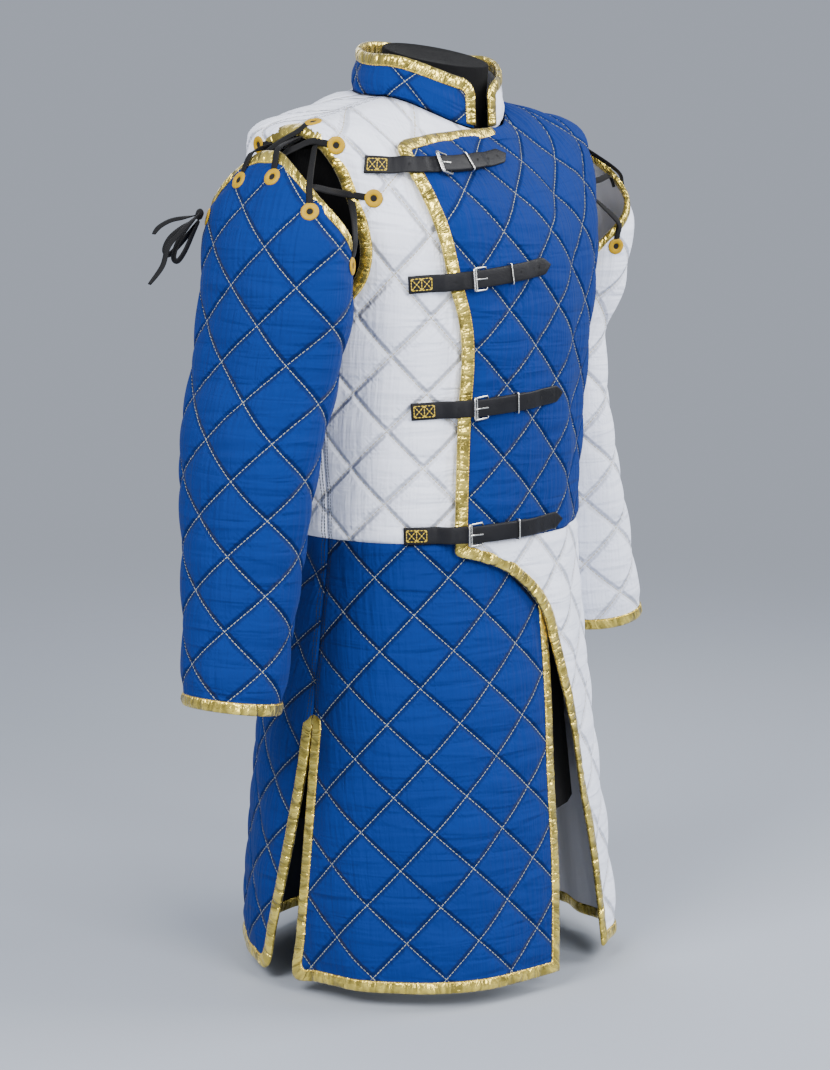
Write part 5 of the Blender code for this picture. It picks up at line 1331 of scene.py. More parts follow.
def gold_lame(tree):
    """Lame: cotton with a metal film, so it shines like foil, in slanted crumples 10 mm wide and 33 mm long
    with 3 mm facets in them, over a soft ground. Its colour holds painted highlights on the crumples' crests
    and painted shade in their hollows."""
    flat_place = node(tree, "UVMap", uv_map="UVMap")
    slanted = node(tree, "Mapping", {"Vector": flat_place, "Rotation": (0, 0, 0.6), "Scale": (95, 30, 1)})
    folds = node(tree, "TexNoise", {"Vector": slanted, "Scale": 1.0, "Detail": 1.5, "Roughness": 0.5,
                                    "Distortion": 1.2})
    facets = node(tree, "TexVoronoi", {"Vector": flat_place, "Scale": 330}, feature="F1")
    split = node(tree, "SeparateXYZ", [flat_place]).outputs
    away = node(tree, "Math", [split[1], (BAND_WIDTH - SEWN_IN) * MM], operation="SUBTRACT")
    away = node(tree, "Math", [away], operation="ABSOLUTE")
    step = node(tree, "Math", [split[0], TOPSTITCH], operation="DIVIDE")
    step = node(tree, "Math", [step], operation="FRACT")
    on_line = node(tree, "Math", [away, FOIL_STITCH_HALF], operation="LESS_THAN")
    in_stitch = node(tree, "Math", [step, STITCH_GAP], operation="GREATER_THAN")
    thread = node(tree, "Math", [on_line, in_stitch], operation="MULTIPLY")
    height = node(tree, "Math", [facets, 0.06, folds], operation="MULTIPLY_ADD")
    height = node(tree, "Math", [thread, 0.5, height], operation="MULTIPLY_ADD")
    # Painted highlight and shade: the foil's colour follows the crumples' height, lighter on their crests and
    # darker in their hollows.
    level = node(tree, "MapRange", {"Value": folds, "From Min": 0.34, "From Max": 0.66,
                                    "To Min": 0.5, "To Max": 1.45})
    foil = node(tree, "HueSaturation", {"Color": linear("#D8C05A"), "Value": level})
    return {
        "Base Color": node(tree, "MixRGB", [thread, foil, linear("#E2B92C")]),
        "Normal": node(tree, "Bump", {"Height": height, "Strength": 1.0, "Distance": 0.005}),
        "Metallic": node(tree, "Math", [thread, -0.8, 0.85], operation="MULTIPLY_ADD"),
        "Roughness": 0.22, "Sheen Weight": 0.1,
    }


SEWN_IN = 2.2                # mm from a binding's inner edge to its stitches
GOLD = material("gold_lame_tape", gold_lame)
SIDE_GAP = 0.4
# Section of a folded strip: share of the width from the edge inwards, and height over the wall's inside.
FOLDED = [
    (1.00, CLOTH - 0.2), (0.98, CLOTH + 0.9), (0.90, CLOTH + 1.5), (0.74, CLOTH + 2.0),
    (0.50, CLOTH + 2.2), (0.26, CLOTH + 2.0), (0.08, CLOTH + 1.2), (-0.02, CLOTH - 0.2),
    (-0.02, 0.6), (0.06, -0.7), (0.30, -1.3), (0.60, -1.4), (0.86, -1.3), (0.98, -1.0), (1.00, -0.2),
]
BAND_GRAIN = 3.0


BROAD_FOLD, FINE_FOLD = 1.3, 0.65    # mm: slanted folds 6 mm apart, and fine ones 2 mm apart
FOLD_TURN = 8                # the place in this section where the strip turns over the edge
BENT = 2.2                   # a piece this much longer than the next is drawn without the next one's pull


def along_pairs(pairs, closed=False):
    """Edge and inner points of a binding at an even step, on smooth curves through the given ones."""
    out = []
    count = len(pairs)
    for i in range(count if closed else count - 1):
        cloth = pairs[i][0]
        near = [pairs[j % count] if closed else pairs[min(max(j, 0), count - 1)] for j in range(i - 1, i + 3)]
        if near[2][0] is not cloth:
            continue
        if near[0][0] is not cloth:
            near[0] = near[1]
        if near[3][0] is not cloth:
            near[3] = near[2]
        step = max(1, *(int((near[2][k] - near[1][k]).length / BAND_GRAIN) for k in (1, 2)))
        for k in range(step):
            pair = []
            for a, b, c, d in ([point[which] for point in near] for which in (1, 2)):
                run, before, after = (c - b).length, (b - a).length, (d - c).length
                if run > BENT * before or before > BENT * run:
                    a = b - (c - b)
                if run > BENT * after or after > BENT * run:
                    d = c + (c - b)
                pair.append(curve(a, b, c, d, k / step))
            out.append((cloth, *pair))
    return out if closed else out + [pairs[-1]]


def bind(name, pairs, closed=False, seamed=False, crumple=1.0):
    """A strip of lame folded over an edge. pairs are (cloth, edge point, inner point); a closed one
    goes on from the last pair to the first, and a seamed one's last pair lies on the first."""
    stations = along_pairs(pairs, closed)
    if closed:
        stations.append(stations[0])
    is_ring = closed or seamed
    count = len(stations) - 1
    lengths = run_lengths([cloth.bare(edge.x, edge.y) for cloth, edge, _ in stations])
    wrap = run_lengths([Vector((share * BAND_WIDTH, height)) for share, height in FOLDED])
    seed = len(name) * 1.7

    def worn(u, v):
        i, j = round(u * count), round(v * (len(FOLDED) - 1))
        cloth, edge, inner = stations[i]
        share, height = FOLDED[j]
        along = lengths[i] if not (is_ring and i == count) else 0.0
        slant = along * 0.16 + share * BAND_WIDTH * 0.11
        fold = noise.noise(Vector((slant, share * 0.9, seed))) * BROAD_FOLD
        fold += noise.noise(Vector((along * 0.45, share * 2.5, seed + 5))) * FINE_FOLD
        if is_ring:
            fold *= soft_step(min(along, lengths[-1] - along), 0, BAND_WIDTH + 1)
        shape = max(math.sin(math.pi * min(max(share, 0.0), 1.0)), 0.15)
        away = edge + (inner - edge) * share
        side = 1 if j < FOLD_TURN else -0.5
        return cloth.place(away.x, away.y, height + side * crumple * (fold * shape))

    def pattern(u, v):
        return lengths[round(u * count)], BAND_WIDTH - wrap[round(v * (len(FOLDED) - 1))]

    mesh = bmesh.new()
    corners, faces = grid(mesh, count, len(FOLDED) - 1, worn, pattern)
    cloth, edge, inner = stations[count // 2]
    spot = edge.lerp(inner, 0.5)
    if not looks_out(faces, cloth.place(spot.x, spot.y, CLOTH + 2), cloth.normal(spot.x, spot.y)):
        bmesh.ops.reverse_faces(mesh, faces=faces)
    if is_ring:
        bmesh.ops.weld_verts(mesh, targetmap={
            corner: corners[0, row] for (column, row), corner in corners.items() if column == count})
    piece = finished(name.replace("binding", "lame"), mesh, [GOLD], "gold_lame", [name])
    cut_flat(piece)
    thickened(piece, LAME_THICK, -1)


LAME_THICK = 0.35
BAND_STEP = 34.0             # mm between the places where a long straight binding is set out


def slit_edge(cloth, sign, spread):
    """Flat points up a side slit from the hem, on the panel at this side of it."""
    out = []
    for i in range(7):
        z = HEM_Z + (SLIT_TOP_Z - HEM_Z) * i / 6
        open_part = ((SLIT_TOP_Z - z) / (SLIT_TOP_Z - HEM_Z)) ** SLIT_BOW
        v = cloth.v_of_level(z)
        out.append(Vector((sign * (cloth.reach(v) - SLIT_HALF_TOP - spread * open_part), v)))
    return out


SLIT_ROUND = 0.6             # mm: the radius at which a slit's edge turns at its head


def slit_top(cloth, sign):
    """Rounded head of a slit's binding: edge points held at the slit, inner points swung over it."""
    v = cloth.v_of_level(SLIT_TOP_Z)

    def inward(distance, height):
        return Vector((sign * (cloth.reach(height) - SLIT_HALF_TOP - distance), height))

    stations = []
    for i in range(1, 4):
        turn = i / 3 * math.pi / 2
        stations.append([inward(radius * math.cos(turn), v + SIDE_GAP + radius * math.sin(turn))
                         for radius in (SLIT_ROUND, BAND_WIDTH)])
    return stations


def left_front_band():
    """Binding of the left front: neck, lap, cut-away, hem and side slit, as (edge, inner) pairs."""
    slit = slit_edge(LEFT_FRONT, 1, FRONT_SLIT_SPREAD)
    path = smooth_path([flat(LEFT_FRONT, p) for p in LAP_NECKLINE], 2)
    path += [flat(LEFT_FRONT, p) for p in [LAP_CORNER, *LAP_EDGE, LAP_FOOT, *CUTAWAY, CUTAWAY_TIP]]
    path += resampled([path[-1], slit[0]], BAND_STEP)[1:] + slit[1:]
    return list(zip(path, inset(LEFT_FRONT, path, BAND_WIDTH))) + slit_top(LEFT_FRONT, 1)


def right_front_band():
    slit = slit_edge(FRONT, -1, FRONT_SLIT_SPREAD)
    centre = [flat(FRONT, p) for p in RIGHT_CENTRE_EDGE]
    path = slit[::-1] + resampled([slit[0], centre[0]], BAND_STEP)[1:] + centre[1:]
    return slit_top(FRONT, -1)[::-1] + list(zip(path, inset(FRONT, path, BAND_WIDTH)))


def back_band():
    right, left = (slit_edge(BACK, sign, BACK_SLIT_SPREAD) for sign in (-1, 1))
    path = right[::-1] + resampled([right[0], left[0]], BAND_STEP)[1:] + left[1:]
    pairs = list(zip(path, inset(BACK, path, BAND_WIDTH)))
    return slit_top(BACK, -1)[::-1] + pairs + slit_top(BACK, 1)


def armhole_pairs(cloth, sign):
    """(edge, inner) pairs of an armhole, from the shoulder seam down to the side seam."""
    table = [(ARMHOLE_TOP_ROW, 0.0), *((point.row, getattr(point, cloth.side)) for point in ARMHOLE),
             (ARMHOLE_FOOT_ROW, 0.0)]
    path = [Vector((sign * (cloth.reach(cloth.v_of_row(row)) - inward), cloth.v_of_row(row)))
            for row, inward in table]
    inner = []
    for point in inset(cloth, path, -BAND_WIDTH * sign):
        reach = min(abs(point.x), cloth.reach(point.y) - SIDE_GAP)
        inner.append(Vector((sign * reach, point.y)))
    inner[0] = along_side(cloth, sign, path[0].y, BAND_WIDTH)
    inner[-1] = along_side(cloth, sign, path[-1].y, -BAND_WIDTH)
    return list(zip(path, inner))


def along_side(cloth, sign, v, distance):
    """Flat point on the side line, this far up or down the worn line from height v."""
    start = cloth.bare(cloth.reach(v), v)
    rise = distance
    for _ in range(6):
        found = cloth.bare(cloth.reach(v + rise), v + rise)
        rise *= abs(distance) / (found - start).length
    return Vector((sign * cloth.reach(v + rise), v + rise))


def sleeve_ring(side, v_of, away):
    """Pairs round a sleeve, from seam to seam, along the edge at v_of(part) and away up from it."""
    cloth = SLEEVES[side]
    count = 28
    pairs = []
    for i in range(count + 1):
        part = -1 + 2 * i / count
        edge_v = v_of(part)
        inner_v = edge_v + away
        pairs.append((cloth, Vector((part * cloth.reach(edge_v), edge_v)),
                      Vector((part * cloth.reach(inner_v), inner_v))))
    return pairs


bind("binding_front_left", [(LEFT_FRONT, *pair) for pair in left_front_band()])
bind("binding_front_right", [(FRONT, *pair) for pair in right_front_band()], crumple=1.25)
bind("binding_back", [(BACK, *pair) for pair in back_band()])
for side, sign in SIDES.items():
    front_cloth = FRONT if sign < 0 else LEFT_FRONT
    front = [(front_cloth, *pair) for pair in armhole_pairs(front_cloth, sign)]
    back = [(BACK, *pair) for pair in armhole_pairs(BACK, sign)]
    bind(f"binding_armhole_{side}", front + back[::-1], closed=True)
    bind(f"binding_sleeve_head_{side}", sleeve_ring(side, sleeve_head_v, -BAND_WIDTH), seamed=True)
    low = SLEEVES[side].rows[0].z
    bind(f"binding_cuff_{side}", sleeve_ring(side, lambda part: low, BAND_WIDTH), seamed=True)


def collar_pairs(side):
    """Pairs up a collar half's front edge, round its corner and back along its top."""
    cloth, start, _ = COLLARS[side]
    sign = SIDES[side]
    top = cloth.height
    path = [Vector((start, v)) for v in (0.0, 11.0, 22.0, top - COLLAR_CORNER)]
    for i in range(1, 7):
        turn = math.pi / 2 * (1 - i / 6)
        path.append(Vector((start + COLLAR_CORNER * (1 - math.sin(turn)),
                            top - COLLAR_CORNER * (1 - math.cos(turn)))))
    round_end = start + COLLAR_CORNER
    straight = cloth.reach(top) - SEAM_BACK - round_end
    path += [Vector((round_end + straight * i / 8, top)) for i in range(1, 9)]
    inner = inset(cloth, path, -BAND_WIDTH)
    inner[-1] = Vector((cloth.reach(top - BAND_WIDTH) - SEAM_BACK, top - BAND_WIDTH))
    inner[0] = Vector((start + BAND_WIDTH, 0.0))
    return [(cloth, Vector((a.x * sign, a.y)), Vector((b.x * sign, b.y))) for a, b in zip(path, inner)]


for side in SIDES:
    bind(f"binding_collar_{side}", collar_pairs(side))


# ---- Straps and buckles. Four bridle straps close the front: each is sewn at its left end and goes
# under the frame of a wire buckle, over its prong and through a wire keeper, to its pointed end.

STRAP_WIDTH, STRAP_THICK = 19.0, 2.4
# Height of the sewn end and of the point, and where each piece lies round the front.
StrapRow = namedtuple("StrapRow", "name start_level end_level start_s buckle_s keeper_s end_s")
STRAPS = rows_of(
    StrapRow, ("1", 890, 923, -207, -118, -80, -9), ("2", 796, 815, -170, -100, -62, 2),
    ("3", 668, 679, -160, -92, -50, 24), ("4", 534, 538, -162, -92, -42, 34),
)
POINT_LENGTH = 11.0
CHAPE_THICK, CHAPE_START, CHAPE_END = 2.4, 2.0, 13.0   # it starts past the frame, and ends past the keeper
LEATHER_GAP = 0.35
BUCKLE_HALF, BUCKLE_WIRE, KEEPER_WIRE, BAR_GAP = 9.5, 2.4, 1.8, 1.2
EDGE_FADE, WINDOW = 22.0, 13.0      # mm: puffs are lower this near a seam, and are looked for this far off
CLIMB, SETTLE, RAMP = 16.0, 9.0, 24.0   # mm: up before the buckle, still up past the chape, down again by


def puff_height(quilt, s, v):
    """Height of the faceted diamond pattern at a flat point."""
    off = 2 * max(abs(part - math.floor(part) - 0.5) for part in diamond(quilt, s, v))
    return PILLOW * min(1.0, (1 - off) * 1.7)


@functools.cache
def highest(quilt, s, v, edge):
    """Highest puff under a strap here; it is low near the waist seam and beside the lap's binding."""
    waist = FRONT.v_of_level(WAIST_Z)
    best = 0.0
    for i in range(-2, 3):
        for j in range(-2, 3):
            s_here, v_here = s + i * WINDOW / 2, v + j * STRAP_WIDTH / 4
            fade = min(abs(v_here - waist) / EDGE_FADE, 1.0)
            if edge is not None:
                fade *= min(max(s_here - edge - BAND_WIDTH, 0.0) / EDGE_FADE, 1.0)
            best = max(best, puff_height(quilt, s_here, v_here) * fade)
    return best


@functools.cache
def panel_top(row, s):
    """Height of the cloth under a strap, over the front's form."""
    v = strap_v(row, s)
    below = v < FRONT.v_of_level(WAIST_Z)
    edge = lap_edge_s(FRONT, v)
    right = CLOTH + highest(BLUE_SKIRT if below else WHITE_CHEST, s, v, None)
    left = LAP_LIFT + CLOTH + highest(WHITE_SKIRT if below else BLUE_CHEST, s, v, edge)
    if s < edge + BAND_WIDTH + WINDOW:
        left = max(left, LAP_LIFT + CLOTH + BAND_CLOTH + BAND_CROWN)
    return right + (left - right) * soft_step(s, edge - 20, edge - 3)


@functools.cache
def strap_height(row, s):
    """Height of a strap's underside: on the cloth, over the buckle's leather, and down again."""
    start, end = row.buckle_s - CLIMB, row.keeper_s + CHAPE_END
    over = soft_step(s, start, row.buckle_s - 2) * (1 - soft_step(s, end + SETTLE, end + RAMP))
    top = panel_top(row, s)
    if start < s < end + RAMP:
        top += (chape_base(row) - LEATHER_GAP - top) * over
    return top + LEATHER_GAP + over * (CHAPE_THICK + LEATHER_GAP)


@functools.cache
def chape_base(row):
    """One height for the buckle's leather, on the highest cloth under it."""
    first, last = row.buckle_s - 4, row.keeper_s + CHAPE_END
    return LEATHER_GAP + max(panel_top(row, first + (last - first) * i / 6) for i in range(7))


def strap_v(row, s):
    part = (s - row.start_s) / (row.end_s - row.start_s)
    return FRONT.v_of_level(row.start_level + (row.end_level - row.start_level) * part)


@functools.cache
def strap_frame(row, s):
    """Point under a strap's middle, and the directions along, across and out of it."""
    before, point, after = (FRONT.bare(at, strap_v(row, at)) for at in (s - PROBE, s, s + PROBE))
    out = FRONT.normal(s, strap_v(row, s))
    along = (after - before).normalized()
    return point, along, out.cross(along).normalized(), out


def bridle_leather(tree):
    """Vegetable-tanned strap leather, dyed black and waxed: a pebbled grain of 1.1 mm with 2.4 mm pores,
    and a soft shine that is rubbed duller every 20 mm or so."""
    place = node(tree, "TexCoord").outputs["Object"]
    grain = node(tree, "TexVoronoi", {"Vector": place, "Scale": 900}, feature="DISTANCE_TO_EDGE")
    pores = node(tree, "TexNoise", {"Vector": place, "Scale": 420, "Detail": 4})
    height = node(tree, "Math", [grain, 0.8, pores], operation="MULTIPLY_ADD")
    worn = node(tree, "TexNoise", {"Vector": place, "Scale": 45, "Detail": 5})
    return {
        "Base Color": node(tree, "MixRGB", [worn, linear("#0B0B0D"), linear("#1B1B1F")]),
        "Normal": node(tree, "Bump", {"Height": height, "Strength": 0.55, "Distance": 0.0005}),
        "Roughness": node(tree, "MapRange", {"Value": worn, "To Min": 0.36, "To Max": 0.6}),
        "Specular IOR Level": 0.2,
    }


LEATHER = material("black_bridle_leather", bridle_leather)
# Section of a strap: share of the half width, and share of the thickness over the underside.
STRAP_SECTION = [
    (-0.97, 0.12), (-1.0, 0.5), (-0.95, 0.86), (-0.8, 1.0), (-0.3, 1.03), (0.3, 1.03), (0.8, 1.0),
    (0.95, 0.86), (1.0, 0.5), (0.97, 0.12), (0.6, 0.0), (0.0, 0.0), (-0.6, 0.0), (-0.97, 0.12),
]
GIRTH = 45                   # mm round a strap


def closed_up(mesh):
    """Joins a tube along its seam and fills its two ends."""
    bmesh.ops.remove_doubles(mesh, verts=mesh.verts[:], dist=0.01 * MM)
    bmesh.ops.holes_fill(mesh, edges=[edge for edge in mesh.edges if edge.is_boundary], sides=60)
    bmesh.ops.recalc_face_normals(mesh, faces=mesh.faces[:])


def leather_strip(name, row, first, last, base_of, thick, width_of, replaced):
    """A strap with rolled edges: base_of(s) is its underside's height, width_of(s) its half width."""
    columns, rows = max(int((last - first) / 2.0), 4), len(STRAP_SECTION) - 1

    def worn(u, v):
        s = first + (last - first) * u
        across_share, rise = STRAP_SECTION[round(v * rows)]
        point, _, across, out = strap_frame(row, s)
        bent = 0.25 * noise.noise(Vector((s * 0.07, across_share, row.start_level)))
        return point + across * (width_of(s) * across_share) + out * (base_of(s) + thick * rise + bent)

    mesh = bmesh.new()
    grid(mesh, columns, rows, worn, lambda u, v: (u * (last - first), v * GIRTH))
    closed_up(mesh)
    finished(name, mesh, [LEATHER], "leather", replaced)


def strap_half_width(row, s):
    past_shoulder = max(s - (row.end_s - POINT_LENGTH), 0.0) / POINT_LENGTH
    return (STRAP_WIDTH / 2 - 0.15) * (1 - past_shoulder ** 1.15) + 0.5 * past_shoulder


STRAP_THREAD = material("yellow_strap_thread", wound_thread, "#D9B93A")
BOX_STITCH, BOX_GAP, BOX_THREAD = 2.9, 0.5, 1.1      # mm: a stitch, the gap after it, its width
BOX_HALF, BOX_ACROSS = 5.0, 6.0


def sew(name, row, paths):
    """Straight stitches along paths of (s, across) corners on a strap's top."""
    mesh = bmesh.new()
    for path in paths:
        for (s0, a0), (s1, a1) in zip(path, path[1:]):
            run = math.hypot(s1 - s0, a1 - a0)
            count = max(round(run / (BOX_STITCH + BOX_GAP)), 1)
            for i in range(count):
                part = (i + 0.5) / count
                s, away = s0 + (s1 - s0) * part, a0 + (a1 - a0) * part
                point, along, across, out = strap_frame(row, s)
                lie = (along * (s1 - s0) + across * (a1 - a0)) / run
                side = out.cross(lie)
                centre = point + across * away + out * (strap_height(row, s) + STRAP_THICK + 0.15)
                stitch = bmesh.ops.create_icosphere(mesh, subdivisions=1, radius=1.0)["verts"]
                for vert in stitch:
                    x, y, z = vert.co
                    vert.co = metres(centre + lie * x * BOX_STITCH * 0.58 + side * y * BOX_THREAD / 2
                                     + out * z * 0.35)
    finished(name, mesh, [STRAP_THREAD], "gold_lame")


def box_stitch(s):
    """Corners of a sewn box with a cross in it."""
    a, b, c = s - BOX_HALF, s + BOX_HALF, BOX_ACROSS
    return [[(a, -c), (b, -c), (b, c), (a, c), (a, -c)], [(a, -c), (b, c)], [(a, c), (b, -c)]]


def wire(name, corners, radius, round_by, replaced=(), closed=True):
    """A bent wire through corner points in mm, with rounded corners."""
    data = bpy.data.curves.new(name, "CURVE")
    data.dimensions = "3D"
    data.bevel_depth = radius * MM
    data.bevel_resolution = 3
    data.use_fill_caps = not closed
    points = []
    for i, corner in enumerate(corners):
        if not closed and i in (0, len(corners) - 1):
            points.append(corner)
            continue
        before, after = corners[i - 1], corners[(i + 1) % len(corners)]
        start = corner + (before - corner).normalized() * round_by
        end = corner + (after - corner).normalized() * round_by
        for t in (0.0, 0.25, 0.5, 0.75, 1.0):
            points.append(start * (1 - t) ** 2 + corner * 2 * t * (1 - t) + end * t * t)
    spline = data.splines.new("POLY")
    spline.points.add(len(points) - 1)
    for spot, point in zip(spline.points, points):
        spot.co = (*metres(point), 1.0)
    spline.use_cyclic_u = closed
    data.materials.append(NICKEL)
    placed(name, data, "nickel_wire", replaced)


def nickel_plate(tree):
    """Nickel-plated steel wire: a warm grey mirror, dulled by rubbing marks of 4 mm."""
    rubbed = node(tree, "TexNoise", {"Vector": node(tree, "TexCoord").outputs["Object"], "Scale": 260,
                                     "Detail": 4})
    return {
        "Base Color": linear("#D0CFCA"), "Metallic": 1.0,
        "Roughness": node(tree, "MapRange", {"Value": rubbed, "To Min": 0.16, "To Max": 0.34}),
    }


NICKEL = material("nickel_plated_wire", nickel_plate)
HOLE_RADIUS, HOLE_STEP = 1.5, 22.0
FIRST_HOLE, LAST_HOLE = 14.0, 17.0       # mm past the keeper, and back from the strap's tip
SEWN_HOLE, SEWN_HOLE_RADIUS = 46.0, 1.2  # in from the sewn end
BAR_IN, BAR_SHORT = 3.2, 0.6             # the prong's bar: in from the frame's side, and clear of its ends
BAR_RADIUS, PRONG_RADIUS = 0.96, 0.85
FRAME_BEND, PRONG_BEND, KEEPER_BEND = 3.0, 1.5, 2.0


# A strap's hole is a flat disc of painted shadow on the leather's top.
def strap_hole(name, row, s, radius):
    point, along, across, out = strap_frame(row, s)
    centre = point + out * (strap_height(row, s) + STRAP_THICK + 0.41)
    painted_hole_shadow(name, centre, along, across, out, radius, 16, "leather")


def buckle(row):
    """The frame, the bar on it that the prong turns on, and the prong that lies through the strap."""
    point, along, across, out = strap_frame(row, row.buckle_s)
    radius = BUCKLE_WIRE / 2
    strap_top = STRAP_THICK + max(
        strap_height(row, row.buckle_s - BUCKLE_HALF + step) for step in (-3, 0, 4))
    high = strap_top + radius + BAR_GAP
    low = chape_base(row) + CHAPE_THICK / 2 - LEATHER_GAP
    wide = STRAP_WIDTH / 2 + radius + 1.0
    bar_high = high + (low - high) * BAR_IN / (2 * BUCKLE_HALF)

    def at(far, aside, up):
        return point + along * far + across * aside + out * up

    start, end = -BUCKLE_HALF, BUCKLE_HALF
    wire(f"nickel_frame_{row.name}", [at(start, wide, high), at(start, -wide, high), at(end, -wide, low),
         at(end, wide, low)], radius, FRAME_BEND, [f"buckle_{row.name}"])
    wire(f"nickel_bar_{row.name}", [at(start + BAR_IN, side * (wide - BAR_SHORT), bar_high)
         for side in (1, -1)], BAR_RADIUS, 1.0, closed=False)
    wire(f"nickel_prong_{row.name}", [at(start + 1, 0, high + 0.9), at(start + 6, 0, strap_top + 1.3),
         at(end - 2, 0, strap_top + 0.7)], PRONG_RADIUS, PRONG_BEND, closed=False)


def keeper(row):
    """A square staple over the strap, whose ends go into the buckle's leather."""
    point, _, across, out = strap_frame(row, row.keeper_s)
    radius = KEEPER_WIRE / 2
    low = chape_base(row) + LEATHER_GAP
    high = strap_height(row, row.keeper_s) + STRAP_THICK + radius + LEATHER_GAP
    wide = STRAP_WIDTH / 2 + radius + LEATHER_GAP + 0.2
    corners = ((wide, low), (wide, high), (-wide, high), (-wide, low))
    wire(f"nickel_keeper_{row.name}", [point + across * aside + out * up for aside, up in corners], radius,
         KEEPER_BEND, [f"keeper_{row.name}"], closed=False)


for row in STRAPS:
    leather_strip(f"bridle_strap_{row.name}", row, row.start_s, row.end_s,
                  lambda s, row=row: strap_height(row, s), STRAP_THICK,
                  lambda s, row=row: strap_half_width(row, s), [f"strap_{row.name}"])
    leather_strip(f"bridle_chape_{row.name}", row, row.buckle_s + BUCKLE_HALF + CHAPE_START,
                  row.keeper_s + CHAPE_END, lambda s, row=row: chape_base(row), CHAPE_THICK,
                  lambda s: STRAP_WIDTH / 2 - 0.1, [f"chape_{row.name}"])
    first = row.start_s + BOX_HALF + 3
    sew(f"strap_sewing_{row.name}", row, box_stitch(first) + box_stitch(first + 2 * BOX_HALF))
    strap_hole(f"strap_hole_{row.name}_sewn", row, row.start_s + SEWN_HOLE, SEWN_HOLE_RADIUS)
    past_keeper = row.keeper_s + FIRST_HOLE
    for number, s in enumerate((past_keeper, past_keeper + HOLE_STEP, row.end_s - LAST_HOLE), 1):
        if s < row.end_s - 9 and (number < 3 or s > row.keeper_s + 40):
            strap_hole(f"strap_hole_{row.name}_{number}", row, s, HOLE_RADIUS)
    buckle(row)
    keeper(row)


# ---- Dress form and stand. A limbless torso of padding under jersey fills the coat; a steel pole
# carries it on a round enamelled base.

FORM_SIDES = 28
FORM_GIRTH, FORM_HEIGHT = 1100, 900
FORM_FOOT_Z = 205.0
FORM_EASE, HIP_EASE, ARM_EASE = 16.0, 26.0, 10.0     # mm between the coat's form and the padding
SHOULDER_SEAT = 0.965
NECK_HALF_WIDTH, NECK_HALF_DEPTH = 60.0, 57.0
NECK_FOOT_FRONT, NECK_FOOT_BACK = 952.0, 988.0
NECK_BLOCK_TOP_FRONT, NECK_BLOCK_TOP_BACK = 1024.0, 1052.0


def form_ring(row, ease, seat=0.0):
    """Ring of the form inside the coat's. seat brings it up to the shoulder seam's underside."""
    ring = []
    slope = soft_step(row, 7.5, 8.6)
    for i in range(FORM_SIDES):
        turn = 2 * math.pi * i / FORM_SIDES
        cloth = FRONT if math.cos(turn) > -1e-6 else BACK
        part = math.asin(min(abs(math.sin(turn)), 1.0)) / (math.pi / 2)
        point = cloth.turned(cloth.ring_point(row, part), math.copysign(1, math.sin(turn)))
        inward = Vector((-point.x, BODY_Y - point.y, 0)).normalized()
        here = ease * (1 - seat * soft_step(abs(math.sin(turn)), 0.95, 1.0))
        ring.append(point + inward * here * (1 - 0.6 * slope) + Vector((0, 0, -here * slope)))
    return ring


def cotton_jersey(tree):
    """Black cotton jersey pulled over the padding: ribs of 2 mm, matt, with a soft bloom at the edges."""
    flat_place = node(tree, "UVMap", uv_map="UVMap")
    ribs = node(tree, "TexWave", {"Vector": flat_place, "Scale": 150, "Distortion": 1.2, "Detail": 2},
                wave_type="BANDS", bands_direction="X").outputs["Fac"]
    lint = node(tree, "TexNoise", {"Vector": flat_place, "Scale": 55, "Detail": 6})
    return {
        "Base Color": node(tree, "MixRGB", [lint, linear("#050506"), linear("#0D0D0F")]),
        "Normal": node(tree, "Bump", {"Height": ribs, "Strength": 0.4, "Distance": 0.0005}),
        "Roughness": 0.88, "Sheen Weight": 0.02, "Specular IOR Level": 0.1,
    }


def form_levels():
    """The form's rings from its foot up to the neck block's top."""
    foot_row = FRONT.row_of(FRONT.v_of_level(FORM_FOOT_Z))
    foot = form_ring(foot_row, HIP_EASE)
    for point in foot:
        point.z = FORM_FOOT_Z
    levels = [foot]
    for row in (2.0, 3.0, 4.0, 5.0, 6.0, 6.7, 7.3, 7.8):
        ease = FORM_EASE + (HIP_EASE - FORM_EASE) * soft_step(4.0 - row, 0.0, 2.0)
        levels.append(form_ring(row, ease + ARM_EASE * soft_step(row, 5.6, 7.3)))
    for row, ease in ((8.3, 34.0), (9.0, 25.0), (9.5, 17.0)):
        levels.append(form_ring(row, ease, SHOULDER_SEAT if row == 9.0 else 0.0))
    for rise, shift in ((0.3, 2), (0.65, 5), (1.0, 8)):      # the neck block leans forward as it rises
        levels.append([])
        for i in range(FORM_SIDES):
            turn = 2 * math.pi * i / FORM_SIDES
            tilt = (1 + math.cos(turn)) / 2
            top = NECK_BLOCK_TOP_BACK + (NECK_BLOCK_TOP_FRONT - NECK_BLOCK_TOP_BACK) * tilt
            low = NECK_FOOT_BACK + (NECK_FOOT_FRONT - NECK_FOOT_BACK) * tilt
            y = BODY_Y - shift - NECK_HALF_DEPTH * math.cos(turn)
            levels[-1].append(Vector((NECK_HALF_WIDTH * math.sin(turn), y, low + (top - low) * rise)))
    return levels


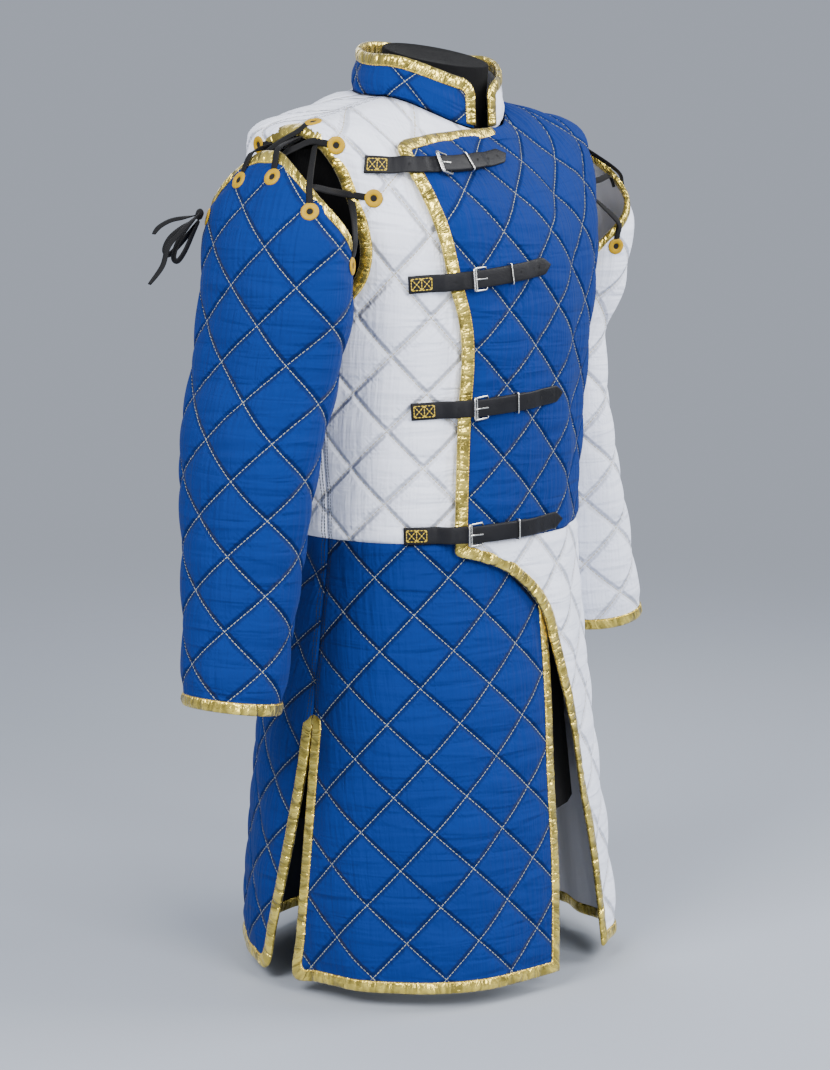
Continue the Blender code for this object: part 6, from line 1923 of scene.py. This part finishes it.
levels = form_levels()
foot, top = levels[0], levels[-1]
foot_middle, top_middle = sum(foot, Vector()) / FORM_SIDES, sum(top, Vector()) / FORM_SIDES
for share, lift in ((0.97, 1.2), (0.9, 0.0), (0.45, 0.0)):      # the neck block's rim and its flat top
    levels.append([top_middle + (point - top_middle) * share + Vector((0, 0, lift)) for point in top])
levels = [[foot_middle + (point - foot_middle) * share for point in foot] for share in (0.5, 0.985)] + levels
mesh = bmesh.new()
grid(mesh, FORM_SIDES, len(levels) - 1,
     lambda u, v: levels[round(v * (len(levels) - 1))][round(u * FORM_SIDES) % FORM_SIDES],
     lambda u, v: (u * FORM_GIRTH, v * FORM_HEIGHT))
closed_up(mesh)
form = finished("jersey_form", mesh, [material("black_cotton_jersey", cotton_jersey)], "black_jersey",
                ["dress_form"])


def satin_enamel(tree):
    """Satin black enamel on steel: smooth and even, with a faint orange-peel of 3 mm."""
    peel = node(tree, "TexNoise", {"Vector": node(tree, "TexCoord").outputs["Object"], "Scale": 300,
                                   "Detail": 2})
    return {
        "Base Color": linear("#1A1A1C"), "Roughness": 0.4,
        "Normal": node(tree, "Bump", {"Height": peel, "Strength": 0.1, "Distance": 0.0004}),
    }


def brushed_steel(tree):
    """Brushed steel tube, with rings round it from the lathe, drawn 0.7 mm apart so that they show."""
    stretched = node(tree, "Mapping", {"Vector": node(tree, "TexCoord").outputs["Object"],
                                       "Scale": (20, 20, 1500)})
    rings = node(tree, "TexNoise", {"Vector": stretched, "Scale": 1.0, "Detail": 3})
    return {
        "Base Color": linear("#9A9A98"), "Metallic": 1.0, "Roughness": 0.35,
        "Normal": node(tree, "Bump", {"Height": rings, "Strength": 0.15, "Distance": 0.0003}),
    }


def turned(name, radius, low, high, edge, finish, slot, replaced):
    """A round bar or plate with its rims turned over."""
    mesh = bmesh.new()
    bmesh.ops.create_cone(mesh, cap_ends=True, segments=96, radius1=radius * MM, radius2=radius * MM,
                          depth=(high - low) * MM)
    rims = [e for e in mesh.edges if abs(e.verts[0].co.z - e.verts[1].co.z) < 1e-6]
    bmesh.ops.bevel(mesh, geom=rims, affect="EDGES", offset=edge * MM, segments=3, profile=0.5, material=-1)
    bmesh.ops.translate(mesh, verts=mesh.verts[:], vec=(0, 0, (low + high) / 2 * MM))
    piece = finished(name, mesh, [finish], slot, [replaced], smooth=False)
    piece.data.set_sharp_from_angle(angle=math.radians(35))


turned("enamelled_base", 135.0, 0.0, 9.0, 2.0, material("black_satin_enamel", satin_enamel),
       "stand_enamel", "stand_base")
turned("steel_pole", 15.0, 9.3, 182.7, 1.0, material("brushed_steel_tube", brushed_steel),
       "stand_steel", "stand_pole")
